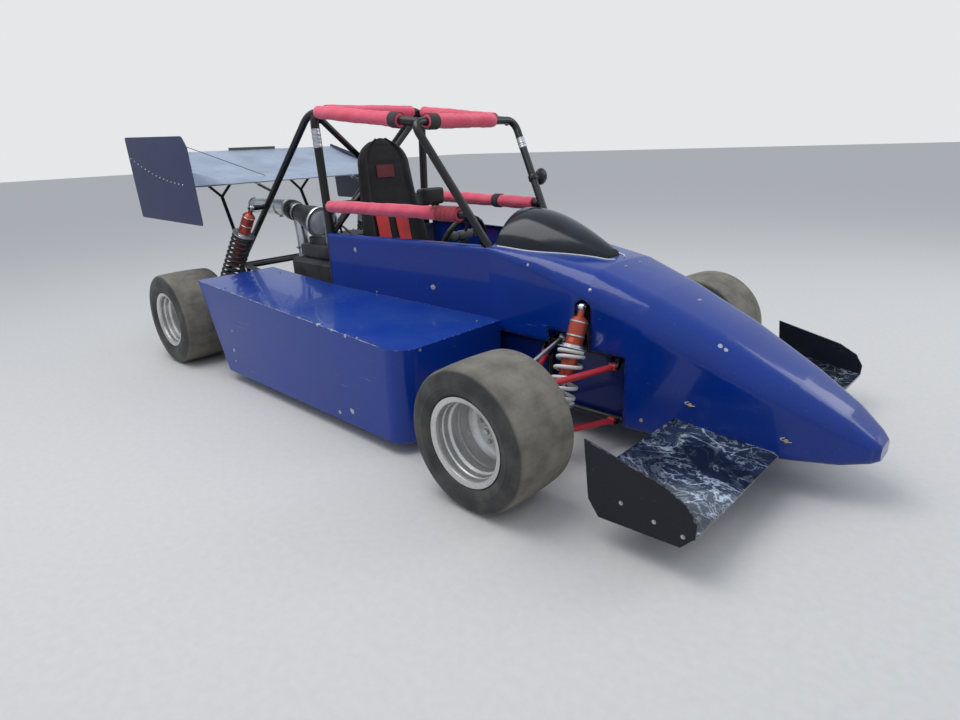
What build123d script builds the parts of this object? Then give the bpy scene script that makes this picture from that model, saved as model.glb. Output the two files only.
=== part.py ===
import os

from build123d import *

os.makedirs("parts", exist_ok=True)

# The car stands on the ground at z = 0, x runs forward, y to its left.
# Lengths along the car are told from the front axle, positive ahead of it.
nose_reach = 890.0
tail_reach = 2716.0
front_axle_x = (tail_reach - nose_reach) / 2
wheelbase = 2211.0
rear_axle_x = front_axle_x - wheelbase
sides = {"right": -1, "left": 1}

# Wheels and tyres
bead_radius = 127.0
rim_flange_radius = 141.5
rim_wall = 5.0
front_tyre_radius = 228.8
front_tyre_width = 260.0
front_bead_width = 226.0
front_half_track = 706.8
rear_tyre_radius = 236.0
rear_tyre_width = 275.0
rear_bead_width = 240.0
rear_half_track = 670.0
running_clearance = 0.05
seat_gap = 0.3
pin_radius = 6.0
ear_radius = 9.0
ear_thickness = 5.0

# Tubes and sheet
frame_tube_radius = 12.7
hoop_tube_radius = 19.0
brace_tube_radius = 16.0
sheet = 3.0
weld_rise = 1.5

# Chassis heights and half widths
rail_low_z = 108.0
rail_high_z = 345.0
rear_rail_high_z = 420.0
nose_frame_half = 182.0
dash_frame_half = 192.0
hoop_frame_half = 300.0
rear_frame_half = 262.0
bulkhead_ahead = 150.0
dash_ahead = -440.0
main_hoop_ahead = -1371.0
rear_frame_ahead = -2320.0


def ahead(distance):
    """The x of a place told from the front axle."""
    return front_axle_x + distance


def tube(start, end, radius, mode=Mode.ADD):
    """A round bar from one point to another, into the part being built or out of it."""
    run = Vector(*end) - Vector(*start)
    with Locations(Plane(origin=start, z_dir=run).location):
        Cylinder(radius, run.length, align=(Align.CENTER, Align.CENTER, Align.MIN), mode=mode)


def bent_tube(points, bend, radius):
    """A round bar bent along a line of points, into the part being built."""
    with BuildLine() as route:
        FilletPolyline(*points, radius=bend)
    path = route.wires()[0]
    with BuildSketch(Plane(origin=path @ 0, z_dir=path % 0)) as section:
        Circle(radius)
    sweep(section.sketch, path=path)


def across(x):
    """The plane across the car at x, its own x along the car's y and its own y up."""
    return Plane(origin=(x, 0, 0), x_dir=(0, 1, 0), z_dir=(1, 0, 0))


def fork(eye, root, pin_axis, gap):
    """Two round ended ears from a root to an eye, either side of the gap, and the pin through both."""
    reach = Vector(*root) - Vector(*eye)
    with Locations(Plane(origin=eye, x_dir=reach, z_dir=pin_axis).location):
        for side in (-1, 1):
            middle = side * (gap + ear_thickness) / 2
            with Locations((reach.length / 2, 0, middle)):
                Box(reach.length, 2 * ear_radius, ear_thickness)
            with Locations((0, 0, middle)):
                Cylinder(ear_radius, ear_thickness)
        Cylinder(pin_radius, gap + 2 * ear_thickness + 3)


def finish(part, name):
    """Label a piece and write it out under its own name."""
    part.part.label = name
    export_step(part.part, f"parts/{name}.step")


# Tyres and rims: each turns about its own axle line.
# columns: name, x of the axle, half track, tyre radius, tyre width, bead width, bore radius
spindle_radius = 12.5
rear_axle_radius = 20.0
wheel_sets = [
    ("front", front_axle_x, front_half_track, front_tyre_radius, front_tyre_width,
     front_bead_width, spindle_radius + running_clearance),
    ("rear", rear_axle_x, rear_half_track, rear_tyre_radius, rear_tyre_width,
     rear_bead_width, rear_axle_radius),
]
shoulder_drop = 9.0
shoulder_inset = 14.0
dish_depth = 150.0
disc_thickness = 9.0
hub_radius = 34.0
hub_length = 62.0
rim_hole_radius = 11.0
rim_hole_circle = 78.0

for axle, axle_x, half_track, tyre_radius, tyre_width, bead_width, bore_radius in wheel_sets:
    for side, sign in sides.items():
        centre = (axle_x, sign * half_track, tyre_radius)
        spin_plane = Plane(origin=centre, x_dir=(0, sign, 0), z_dir=(sign, 0, 0))
        spin_axis = Axis(centre, (0, 1, 0))
        bead = bead_width / 2
        wall = tyre_width / 2
        tread = wall - shoulder_inset
        tread_edge = tyre_radius - shoulder_drop
        wall_mid = (bead_radius + tread_edge) / 2
        with BuildPart() as tyre:
            with BuildSketch(spin_plane):
                with BuildLine():
                    flange_top = rim_flange_radius + 1
                    Polyline((-bead, flange_top), (-bead, bead_radius), (bead, bead_radius), (bead, flange_top))
                    ThreePointArc((bead, flange_top), (wall, wall_mid), (tread, tread_edge))
                    ThreePointArc((tread, tread_edge), (0, tyre_radius), (-tread, tread_edge))
                    ThreePointArc((-tread, tread_edge), (-wall, wall_mid), (-bead, flange_top))
                make_face()
            revolve(axis=spin_axis)
        finish(tyre, f"{axle}_tyre_{side}")

        lip = bead + rim_wall
        disc_out = lip - dish_depth
        disc_in = disc_out - disc_thickness
        with BuildPart() as rim:
            with BuildSketch(spin_plane):
                with BuildLine():
                    Polyline(
                        (lip, rim_flange_radius), (lip, bead_radius - rim_wall),
                        (disc_out, bead_radius - 2 * rim_wall), (disc_out, bore_radius),
                        (disc_in, bore_radius), (disc_in, bead_radius - 2 * rim_wall),
                        (-lip, bead_radius - rim_wall), (-lip, rim_flange_radius),
                        (-bead, rim_flange_radius), (-bead, bead_radius),
                        (bead, bead_radius), (bead, rim_flange_radius), close=True)
                make_face()
            revolve(axis=spin_axis)
            with BuildSketch(spin_plane):
                with BuildLine():
                    Polyline(
                        (disc_out + hub_length / 2, hub_radius), (disc_out + hub_length / 2, bore_radius),
                        (disc_in, bore_radius), (disc_in, hub_radius), close=True)
                make_face()
            revolve(axis=spin_axis)
            with Locations(Plane(origin=(axle_x, centre[1], tyre_radius), z_dir=(0, 1, 0)).location):
                with PolarLocations(rim_hole_circle, 2):
                    Hole(rim_hole_radius)
        finish(rim, f"{axle}_rim_{side}")

# Front knuckles: an upright on a vertical steering line, with its stub axle and steering arm
kingpin_half = 530.0
lower_joint_z = 130.0
upper_joint_z = 300.0
eye_radius = 16.0
eye_height = 24.0
upright_radius = 18.0
steer_arm_length = 110.0
steer_arm_z = 265.0
steer_arm_radius = 9.0
rod_end_radius = 12.0
rod_end_height = 18.0
rod_end_z = steer_arm_z + steer_arm_radius + rod_end_height / 2 + 1.0
stub_reach = front_half_track + front_bead_width / 2 + rim_wall - dish_depth + hub_length / 2
disc_brake_radius = 95.0

for side, sign in sides.items():
    kingpin_y = sign * kingpin_half
    with BuildPart() as knuckle:
        tube((front_axle_x, kingpin_y, lower_joint_z + eye_height / 2 + seat_gap),
             (front_axle_x, kingpin_y, upper_joint_z - eye_height / 2 - seat_gap), upright_radius)
        tube((front_axle_x, kingpin_y, lower_joint_z - eye_height / 2 - 4),
             (front_axle_x, kingpin_y, upper_joint_z + eye_height / 2 + 4), pin_radius)
        tube((front_axle_x, kingpin_y, front_tyre_radius),
             (front_axle_x, sign * stub_reach, front_tyre_radius), spindle_radius)
        tube((front_axle_x, kingpin_y, steer_arm_z),
             (front_axle_x - steer_arm_length, kingpin_y, steer_arm_z), steer_arm_radius)
        with Locations((front_axle_x - steer_arm_length, kingpin_y, steer_arm_z)):
            Cylinder(rod_end_radius, 2 * steer_arm_radius)
    finish(knuckle, f"front_knuckle_{side}")

# Front wishbones: inner eyes on pins of the frame, outer eye round the steering line
# columns: name, joint height, inner front (ahead, z), inner rear (ahead, z)
arm_tube_radius = 11.0
arm_neck_radius = 7.0
arm_eye_radius = 13.0
arm_eye_width = 26.0
arm_neck = 18.0
arm_pivot_half = nose_frame_half + frame_tube_radius + weld_rise + arm_eye_radius + seat_gap
arm_rows = [
    ("upper", upper_joint_z, (112.0, 312.0), (-175.0, 305.0)),
    ("lower", lower_joint_z, (112.0, 112.0), (-175.0, 112.0)),
]
damper_radius = 26.0
spring_radius = 47.0
rod_radius = 8.0
eye_ring_radius = 15.0
eye_ring_width = 24.0
coil_low_half = 400.0
coil_low_z = 152.0
for name, joint_z, front_pivot, rear_pivot in arm_rows:
    with BuildPart() as arms:
        for sign in sides.values():
            outer = (front_axle_x, sign * kingpin_half, joint_z)
            bars = []
            for reach, height in (front_pivot, rear_pivot):
                inner = Vector(ahead(reach), sign * arm_pivot_half, height)
                run = Vector(*outer) - inner
                tube(inner + run.normalized() * arm_neck, Vector(*outer) - run.normalized() * (eye_radius - 4),
                     arm_tube_radius)
                tube(inner, inner + run.normalized() * (arm_neck + 3), arm_neck_radius)
                with Locations(Plane(origin=inner, z_dir=(1, 0, 0)).location):
                    Cylinder(arm_eye_radius, arm_eye_width)
                    Cylinder(pin_radius + running_clearance, arm_eye_width + 10, mode=Mode.SUBTRACT)
                bars.append(inner + run * ((coil_low_half - arm_pivot_half) / (kingpin_half - arm_pivot_half)))
            if name == "lower":
                tube(bars[0], bars[1], arm_tube_radius)
                middle = bars[0] + (bars[1] - bars[0]) * ((bars[0].X - front_axle_x) / (bars[0].X - bars[1].X))
                fork((front_axle_x, sign * coil_low_half, coil_low_z), middle, (1, 0, 0),
                     eye_ring_width + 2 * seat_gap)
            with Locations(outer):
                Cylinder(eye_radius, eye_height)
                Cylinder(pin_radius + running_clearance, eye_height, mode=Mode.SUBTRACT)
    finish(arms, f"front_{name}_arms")

# Coil-overs: damper body on top, spring round it, rod and eye below
# columns: name, top (ahead, half, z), bottom (ahead, half, z), the pins' direction
tower_half = 203.0
tower_top_z = 500.0
carrier_half = 470.0
carrier_radius = 46.0
carrier_width = 40.0
coil_foot_z = rear_tyre_radius + carrier_radius + eye_ring_radius + 9.0
coil_rows = [
    ("front", (0.0, 235.0, 508.0), (0.0, coil_low_half, coil_low_z), (1, 0, 0)),
    ("rear", (-1955.0, 372.0, 775.0), (-wheelbase, carrier_half, coil_foot_z), (0, 1, 0)),
]
for name, top, bottom, pin_axis in coil_rows:
    with BuildPart() as coilovers:
        for sign in sides.values():
            high = Vector(ahead(top[0]), sign * top[1], top[2])
            low = Vector(ahead(bottom[0]), sign * bottom[1], bottom[2])
            run = low - high
            for share_start, share_end, radius in (
                (0.05, 0.42, damper_radius), (0.42, 0.88, spring_radius), (0.0, 1.0, rod_radius),
            ):
                tube(high + run * share_start, high + run * share_end, radius)
            for point in (high, low):
                with Locations(Plane(origin=point, z_dir=pin_axis).location):
                    Cylinder(eye_ring_radius, eye_ring_width)
                    Cylinder(pin_radius + running_clearance, eye_ring_width + 10, mode=Mode.SUBTRACT)
    finish(coilovers, f"{name}_coilovers")

# Rear axle: one live shaft in two bearing carriers on radius arms
with BuildPart() as axle_shaft:
    reach = rear_half_track + 40
    tube((rear_axle_x, -reach, rear_tyre_radius), (rear_axle_x, reach, rear_tyre_radius), rear_axle_radius)
finish(axle_shaft, "rear_axle_shaft")

sprocket_half = 60.0
sprocket_radius = 95.0
with BuildPart() as sprocket:
    with Locations(Plane(origin=(rear_axle_x, sprocket_half, rear_tyre_radius), z_dir=(0, 1, 0)).location):
        Cylinder(sprocket_radius, 8)
        Cylinder(40, 40)
        Cylinder(rear_axle_radius, 41, mode=Mode.SUBTRACT)
finish(sprocket, "axle_sprocket")

with BuildPart() as brake_disc:
    with Locations(Plane(origin=(rear_axle_x, -sprocket_half * 2, rear_tyre_radius), z_dir=(0, 1, 0)).location):
        Cylinder(disc_brake_radius, 6)
        Cylinder(38, 30)
        Cylinder(rear_axle_radius, 31, mode=Mode.SUBTRACT)
finish(brake_disc, "axle_brake_disc")

with BuildPart() as carriers:
    for sign in sides.values():
        with Locations(Plane(origin=(rear_axle_x, sign * carrier_half, rear_tyre_radius), z_dir=(0, 1, 0)).location):
            Cylinder(carrier_radius, carrier_width)
        fork((rear_axle_x, sign * carrier_half, coil_foot_z),
             (rear_axle_x, sign * carrier_half, rear_tyre_radius + carrier_radius - 12), (0, 1, 0),
             eye_ring_width + 2 * seat_gap)
        with Locations(Plane(origin=(rear_axle_x, sign * carrier_half, rear_tyre_radius), z_dir=(0, 1, 0)).location):
            Cylinder(rear_axle_radius + running_clearance, carrier_width + 10, mode=Mode.SUBTRACT)
finish(carriers, "axle_carriers")

# Chassis frame: welded round tube from the nose bulkhead to the wing's feet
frame_points = {
    "nose low": (bulkhead_ahead, nose_frame_half, rail_low_z),
    "nose high": (bulkhead_ahead, nose_frame_half, rail_high_z),
    "pivot low": (-175.0, nose_frame_half, rail_low_z),
    "pivot high": (-175.0, nose_frame_half, rail_high_z),
    "dash low": (dash_ahead, dash_frame_half, rail_low_z),
    "dash high": (dash_ahead, dash_frame_half, rail_high_z),
    "hoop low": (main_hoop_ahead, hoop_frame_half, rail_low_z),
    "hoop high": (main_hoop_ahead, hoop_frame_half, rail_high_z),
    "tower foot": (0.0, nose_frame_half, rail_high_z),
    "tower top": (0.0, tower_half, tower_top_z),
    "tail low": (rear_frame_ahead, rear_frame_half, rail_low_z),
    "tail high": (rear_frame_ahead, rear_frame_half, rear_rail_high_z),
}
frame_runs = [
    ("nose low", "pivot low"), ("pivot low", "dash low"), ("dash low", "hoop low"), ("hoop low", "tail low"),
    ("nose high", "tower foot"), ("tower foot", "tower top"),
    ("tower foot", "pivot high"), ("pivot high", "dash high"), ("dash high", "hoop high"),
    ("hoop high", "tail high"), ("nose low", "nose high"), ("pivot low", "pivot high"),
    ("dash low", "dash high"), ("hoop low", "hoop high"), ("tail low", "tail high"),
    ("dash high", "hoop low"), ("hoop high", "tail low"),
]
engine_bearers = (-1560.0, -1860.0)
cross_names = ["nose low", "nose high", "pivot high", "tower top", "dash low",
               "hoop low", "tail low", "tail high"]


def frame_point(name, sign):
    reach, half, height = frame_points[name]
    return (ahead(reach), sign * half, height)


def tail_rail(distance, sign, outward, low):
    """A point beside a rail behind the main hoop."""
    share = (distance - main_hoop_ahead) / (rear_frame_ahead - main_hoop_ahead)
    half = hoop_frame_half + share * (rear_frame_half - hoop_frame_half)
    height = rail_low_z if low else rail_high_z + share * (rear_rail_high_z - rail_high_z)
    return (ahead(distance), sign * (half + outward), height)


radius_eye_radius = 13.0
radius_eye_width = 18.0
radius_eye_out = frame_tube_radius + radius_eye_width / 2 + 1.0
arm_frame_ahead = -1835.0
with BuildPart() as frame:
    for sign in sides.values():
        for name in frame_points:
            with Locations(frame_point(name, sign)):
                Sphere(frame_tube_radius + weld_rise)
    for sign in sides.values():
        for start, end in frame_runs:
            tube(frame_point(start, sign), frame_point(end, sign), frame_tube_radius)
    for name in cross_names:
        tube(frame_point(name, -1), frame_point(name, 1), frame_tube_radius)
    for reach in engine_bearers:
        tube(tail_rail(reach, -1, 0, True), tail_rail(reach, 1, 0, True), frame_tube_radius)
    # ears for the coil-overs and the wishbones, and pins for the radius arms
    for sign in sides.values():
        _, top, _, _ = coil_rows[0]
        fork((ahead(top[0]), sign * top[1], top[2]), (ahead(0), sign * tower_half, tower_top_z), (1, 0, 0),
             eye_ring_width + 2 * seat_gap)
        for name, joint_z, *pivots in arm_rows:
            for reach, height in pivots:
                rail = rail_high_z if name == "upper" else rail_low_z
                fork((ahead(reach), sign * arm_pivot_half, height), (ahead(reach), sign * nose_frame_half, rail),
                     (1, 0, 0), arm_eye_width + 2 * seat_gap)
        for low in (True, False):
            tube(tail_rail(arm_frame_ahead, sign, 0, low),
                 tail_rail(arm_frame_ahead, sign, radius_eye_out + radius_eye_width / 2 + 4, low), pin_radius)
finish(frame, "chassis_frame")

# Radius arms: two on each side from the bearing carrier to pins on the frame's rails
radius_arm_radius = 9.0
arm_carrier_ahead = -2190.0
with BuildPart() as radius_arms:
    for sign in sides.values():
        for low, offset in ((True, -14.0), (False, 18.0)):
            outer = (ahead(arm_carrier_ahead), sign * (carrier_half - 4), rear_tyre_radius + offset)
            inner = tail_rail(arm_frame_ahead, sign, radius_eye_out, low)
            tube(outer, inner, radius_arm_radius)
            with Locations(Plane(origin=inner, z_dir=(0, 1, 0)).location):
                Cylinder(radius_eye_radius, radius_eye_width)
                Cylinder(pin_radius + running_clearance, radius_eye_width + 10, mode=Mode.SUBTRACT)
        with Locations(Plane(origin=(rear_axle_x, sign * carrier_half, rear_tyre_radius), z_dir=(0, 1, 0)).location):
            Cylinder(carrier_radius + seat_gap, 3 * carrier_width, mode=Mode.SUBTRACT)
    add(frame.part, mode=Mode.SUBTRACT)
finish(radius_arms, "radius_arms")

# Rear wing: a cambered plane between two tall end plates
rear_wing_half = 651.0
rear_plate = [(-2716.0, 1149.0), (-1981.0, 1132.0), (-1937.0, 1082.0), (-1910.0, 719.0), (-2683.0, 727.0)]
with BuildPart() as rear_plane:
    with BuildSketch(Plane.XZ):
        with BuildLine():
            ThreePointArc((ahead(-2025), 912), (ahead(-2350), 962), (ahead(-2700), 1062))
            Line((ahead(-2700), 1062), (ahead(-2703), 1052))
            ThreePointArc((ahead(-2703), 1052), (ahead(-2330), 905), (ahead(-2025), 886))
            ThreePointArc((ahead(-2025), 886), (ahead(-2012), 899), (ahead(-2025), 912))
        make_face()
    extrude(amount=rear_wing_half, both=True)
finish(rear_plane, "rear_wing_plane")

# Roll cage: main hoop behind the seat, front hoop at the dash, roof and side bars, rear braces
main_hoop_half = 334.0
main_hoop_z = 1205.0
front_hoop_ahead = -782.5
front_hoop_half = 303.5
front_hoop_z = 1133.0
front_foot_ahead = -440.0
front_foot_half = 190.0
front_knee_z = 640.0
foot_z = rail_high_z + frame_tube_radius + weld_rise + seat_gap
side_bar_front = (-526.0, 222.0, 789.0)
side_bar_rear_z = 804.0
hoop_bend = 75.0
cage_top_rear = (ahead(main_hoop_ahead), main_hoop_half - 30, main_hoop_z)
cage_top_front = (ahead(front_hoop_ahead), front_hoop_half - 28, front_hoop_z)
upright_share = 0.84
upright_top = (-2262.0, 296.0, 905.0)
upright_cross_z = 818.0
upright_radius_wing = 15.0


def brace_foot(sign):
    """Where a rear brace lands on the tail of the upper rail."""
    return (ahead(rear_frame_ahead) + 10, sign * (rear_frame_half + 3),
            rear_rail_high_z + frame_tube_radius + weld_rise + seat_gap)


def along_brace(sign, share):
    """A point on a rear brace, told as a share of its length from the hoop."""
    high = Vector(ahead(main_hoop_ahead), sign * (main_hoop_half - 8), main_hoop_z - 22)
    return high + (Vector(*brace_foot(sign)) - high) * share


def front_leg_top(sign):
    """The top corner of the front hoop, before its bend."""
    return (ahead(front_hoop_ahead), sign * front_hoop_half, front_hoop_z)


with BuildPart() as cage:
    x = ahead(main_hoop_ahead)
    bent_tube(
        [(x, -hoop_frame_half, foot_z), (x, -main_hoop_half, 720), (x, -main_hoop_half, main_hoop_z),
         (x, main_hoop_half, main_hoop_z), (x, main_hoop_half, 720), (x, hoop_frame_half, foot_z)],
        hoop_bend, hoop_tube_radius)
    foot, top = ahead(front_foot_ahead), ahead(front_hoop_ahead)
    bent_tube(
        [(foot, -front_foot_half, front_knee_z), (top, -front_hoop_half, front_hoop_z),
         (top, front_hoop_half, front_hoop_z), (foot, front_foot_half, front_knee_z)],
        hoop_bend, brace_tube_radius)
    for sign in sides.values():
        tube((foot, sign * front_foot_half, front_knee_z), (foot, sign * dash_frame_half, foot_z), brace_tube_radius)
        tube((cage_top_rear[0], sign * cage_top_rear[1], cage_top_rear[2] - 2),
             (cage_top_front[0], sign * cage_top_front[1], cage_top_front[2] - 2), brace_tube_radius)
        tube((ahead(side_bar_front[0]), sign * side_bar_front[1], side_bar_front[2]),
             (x, sign * main_hoop_half, side_bar_rear_z), brace_tube_radius)
        tube((x, sign * (main_hoop_half - 8), main_hoop_z - 22), brace_foot(sign), brace_tube_radius)
        tube(along_brace(sign, upright_share), (ahead(upright_top[0]), sign * upright_top[1], upright_top[2]),
             upright_radius_wing)
    tube((x, -main_hoop_half, side_bar_rear_z), (x, main_hoop_half, side_bar_rear_z), brace_tube_radius)
    _, top, _, _ = coil_rows[1]
    for sign in sides.values():
        brace_share = (x - ahead(top[0])) / (x - brace_foot(sign)[0])
        root = along_brace(sign, brace_share)
        inner_face = top[1] - eye_ring_width / 2 - seat_gap
        tube(root, (ahead(top[0]), sign * (inner_face - 14), top[2]), brace_tube_radius - 4)
        tube((ahead(top[0]), sign * (inner_face - 28), top[2]), (ahead(top[0]), sign * inner_face, top[2]),
             eye_ring_radius)
        tube((ahead(top[0]), sign * (inner_face - 20), top[2]),
             (ahead(top[0]), sign * (top[1] + eye_ring_width / 2 + 5), top[2]), pin_radius)
    cross = [along_brace(sign, upright_share) for sign in (-1, 1)]
    rise = (upright_cross_z - cross[0].Z) / (upright_top[2] - cross[0].Z)
    ends = [point + (Vector(ahead(upright_top[0]), sign * upright_top[1], upright_top[2]) - point) * rise
            for point, sign in zip(cross, (-1, 1))]
    tube(ends[0], ends[1], upright_radius_wing - 3)
    add(rear_plane.part, mode=Mode.SUBTRACT)
    add(frame.part, mode=Mode.SUBTRACT)
finish(cage, "roll_cage")

# Foam pads round the cage bars
pad_radius = 29.0
pad_bars = []
for sign in sides.values():
    pad_bars.append(((cage_top_rear[0], sign * cage_top_rear[1], cage_top_rear[2] - 2),
                     (cage_top_front[0], sign * cage_top_front[1], cage_top_front[2] - 2),
                     80, 78, brace_tube_radius))
    pad_bars.append(((ahead(side_bar_front[0]), sign * side_bar_front[1], side_bar_front[2]),
                     (ahead(main_hoop_ahead), sign * main_hoop_half, side_bar_rear_z),
                     62, 60, brace_tube_radius))
pad_bars.append(((ahead(main_hoop_ahead), -main_hoop_half, main_hoop_z),
                 (ahead(main_hoop_ahead), main_hoop_half, main_hoop_z), 110, 110, hoop_tube_radius))
pad_bars.append(((ahead(front_hoop_ahead), -front_hoop_half, front_hoop_z),
                 (ahead(front_hoop_ahead), front_hoop_half, front_hoop_z), 105, 105, brace_tube_radius))
with BuildPart() as pads:
    for start, end, short_start, short_end, bar_radius in pad_bars:
        start, end = Vector(*start), Vector(*end)
        run = (end - start).normalized()
        a, b = start + run * short_start, end - run * short_end
        with Locations(Plane(origin=a, z_dir=run).location):
            Cylinder(pad_radius, (b - a).length, align=(Align.CENTER, Align.CENTER, Align.MIN))
            Cylinder(bar_radius + seat_gap, (b - a).length,
                     align=(Align.CENTER, Align.CENTER, Align.MIN), mode=Mode.SUBTRACT)
finish(pads, "cage_pads")

# Body shell: one skin from the seat's bulkhead to the nose tip, open below the seam
skin = 4.0
low_corner = 26.0
seam_z = 360.0
tub_rear_ahead = -1350.0
# columns: ahead, half width, top z, crown height, low z, corner radius
tub_sections = [
    (tub_rear_ahead, 330.0, 682.0, 2.0, 100.0, 14.0),
    (dash_ahead, 222.0, 678.0, 2.0, 100.0, 22.0),
]
nose_sections = tub_sections[-1:] + [
    (-200.0, 232.0, 666.0, 12.0, 100.0, 60.0),
    (20.0, 236.0, 634.0, 22.0, 100.0, 100.0),
    (220.0, 224.0, 562.0, 24.0, 100.0, 110.0),
    (450.0, 194.0, 462.0, 24.0, 103.0, 105.0),
    (670.0, 148.0, 348.0, 20.0, 112.0, 85.0),
    (800.0, 108.0, 268.0, 14.0, 122.0, 60.0),
    (870.0, 70.0, 212.0, 8.0, 134.0, 34.0),
    (nose_reach, 48.0, 190.0, 4.0, 142.0, 20.0),
]


def hull_section(distance, half, top, crown, low, corner, low_round):
    """One cross section of the body, its top slightly crowned and its shoulders round."""
    with BuildSketch(across(ahead(distance))) as section:
        with BuildLine():
            shoulder = top - crown
            Polyline((-half, shoulder), (-half, low), (half, low), (half, shoulder))
            ThreePointArc((half, shoulder), (0, top), (-half, shoulder))
        make_face()
        fillet(section.vertices().group_by(Axis.Y)[0], min(low_round, corner))
        fillet(section.vertices().group_by(Axis.Y)[-1], corner)
    return section.sketch


def hull(sections, grow, deeper=0.0):
    """The outside of the body through its sections, grown or shrunk by a wall."""
    return loft([hull_section(d, half + grow, top + grow, crown, low - grow - deeper, corner + grow, low_corner + grow)
                 for d, half, top, crown, low, corner in sections], ruled=True, mode=Mode.PRIVATE)


def hull_half(distance):
    """The body's half width at a distance ahead of the front axle."""
    rows = tub_sections + nose_sections[1:]
    for (d0, h0, *_), (d1, h1, *_) in zip(rows, rows[1:]):
        if distance <= d1:
            return h0 + (h1 - h0) * (distance - d0) / (d1 - d0)
    return rows[-1][1]


nose_end = (nose_reach - skin, 46.0 + skin, 188.0 + skin, 4.0, 144.0 - skin, 18.0 + skin)
nose_bore = nose_sections[:-1] + [nose_end]
nose_cut_ahead = 165.0
cockpit_lip = 26.0
damper_slot_half = 33.0
damper_slot_top = 534.0
rod_notch = (-150.0, -70.0, 408.0)
leg_clearance = 5.0
with BuildPart() as shell:
    add(hull(tub_sections, 0))
    add(hull(nose_sections, 0))
    add(hull(tub_sections, -skin, deeper=40), mode=Mode.SUBTRACT)
    add(hull(nose_bore, -skin), mode=Mode.SUBTRACT)
    # the shell ends at the seam behind the nose cone's rear edge
    with BuildSketch(Plane.XZ):
        with BuildLine():
            Polyline((ahead(tub_rear_ahead) - 20, seam_z), (ahead(nose_cut_ahead), seam_z),
                     (ahead(nose_cut_ahead), 0), (ahead(tub_rear_ahead) - 20, 0), close=True)
        make_face()
    extrude(amount=500, both=True, mode=Mode.SUBTRACT)
    # the open cockpit, with a rolled lip along its edge
    with BuildSketch(Plane.XY.offset(600)):
        with BuildLine():
            rear_half = tub_sections[0][1] - cockpit_lip
            front_half = tub_sections[1][1] - cockpit_lip
            Polyline((ahead(tub_rear_ahead) - 20, -rear_half), (ahead(dash_ahead) - 16, -front_half),
                     (ahead(dash_ahead) - 16, front_half), (ahead(tub_rear_ahead) - 20, rear_half), close=True)
        make_face()
    extrude(amount=200, mode=Mode.SUBTRACT)
    # slots for the dampers and notches for the tie rods, through both sides
    with BuildSketch(Plane.XZ):
        with Locations((ahead(0), (damper_slot_top + seam_z) / 2 - 20)):
            SlotOverall(damper_slot_top - seam_z + 40, 2 * damper_slot_half, rotation=90)
        with BuildLine():
            Polyline((ahead(rod_notch[0]), seam_z - 10), (ahead(rod_notch[1]), seam_z - 10),
                     (ahead(rod_notch[1]), rod_notch[2]), (ahead(rod_notch[0]), rod_notch[2]), close=True)
        make_face()
    extrude(amount=500, both=True, mode=Mode.SUBTRACT)
    for sign in sides.values():
        tube((ahead(front_foot_ahead), sign * front_foot_half, front_knee_z), front_leg_top(sign),
             brace_tube_radius + leg_clearance, mode=Mode.SUBTRACT)
finish(shell, "body_shell")

# Belly: floor and low side sheets between the frame's rails
belly_floor_z = 92.0
belly_top_z = 330.0
belly_gap = 1.5
belly_plan = [
    (main_hoop_ahead + 20, hoop_frame_half - frame_tube_radius - belly_gap - 3),
    (dash_ahead, dash_frame_half - frame_tube_radius - belly_gap - 3),
    (-175.0, nose_frame_half - frame_tube_radius - belly_gap - 3),
    (bulkhead_ahead - 16, nose_frame_half - frame_tube_radius - belly_gap - 3),
]
with BuildPart() as belly:
    for inset, low in ((0.0, belly_floor_z), (sheet, belly_floor_z + sheet)):
        with BuildSketch(Plane.XY.offset(low)):
            with BuildLine():
                right = [(ahead(d) + (inset if i == 0 else 0), -half + inset)
                         for i, (d, half) in enumerate(belly_plan)]
                left = [(px, -py) for px, py in reversed(right)]
                Polyline(*right, *left, close=True)
            make_face()
        extrude(amount=belly_top_z - low, mode=Mode.SUBTRACT if inset else Mode.ADD)
    for name in ("dash low", "hoop low", "pivot low"):
        tube(frame_point(name, -1), frame_point(name, 1), frame_tube_radius + 1, mode=Mode.SUBTRACT)
    for sign in sides.values():
        tube(frame_point("dash high", sign), frame_point("hoop low", sign), frame_tube_radius + 1,
             mode=Mode.SUBTRACT)
finish(belly, "belly_tub")

# Firewall behind the seat
firewall_top = 655.0
with BuildPart() as firewall:
    with BuildSketch(across(ahead(main_hoop_ahead) + hoop_tube_radius + seat_gap)):
        with BuildLine():
            half = tub_sections[0][1] - skin - 2 * seat_gap
            Polyline((-half, seam_z), (half, seam_z), (half, firewall_top), (-half, firewall_top), close=True)
        make_face()
    extrude(amount=sheet)
finish(firewall, "firewall")

# Cowl: a half dome in front of the cockpit
# columns: ahead, half width, apex z
cowl_sections = [(-432.0, 200.0, 800.0), (-320.0, 172.0, 790.0), (-160.0, 112.0, 732.0), (-30.0, 40.0, 668.0)]
cowl_base_z = 645.0


def cowl_arch(distance, half, apex, base):
    """One arched cross section of the cowl."""
    with BuildSketch(across(ahead(distance))) as section:
        with BuildLine():
            Line((-half, base), (half, base))
            ThreePointArc((half, base), (0, apex), (-half, base))
        make_face()
    return section.sketch


with BuildPart() as cowl:
    loft([cowl_arch(d, half, apex, cowl_base_z - 10) for d, half, apex in cowl_sections])
    loft([cowl_arch(d - 2, half - skin, apex - skin, cowl_base_z - 12) for d, half, apex in cowl_sections],
         mode=Mode.SUBTRACT)
    add(hull(nose_sections, seat_gap), mode=Mode.SUBTRACT)
    with BuildSketch(Plane.XY.offset(cowl_base_z - 60)):
        with Locations((ahead(-250), 0)):
            Rectangle(600, 600)
    extrude(amount=56, mode=Mode.SUBTRACT)
finish(cowl, "cowl")

# Side pods: closed sheet boxes along the tub
pod_outer_half = 732.0
pod_corner = 80.0
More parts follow.
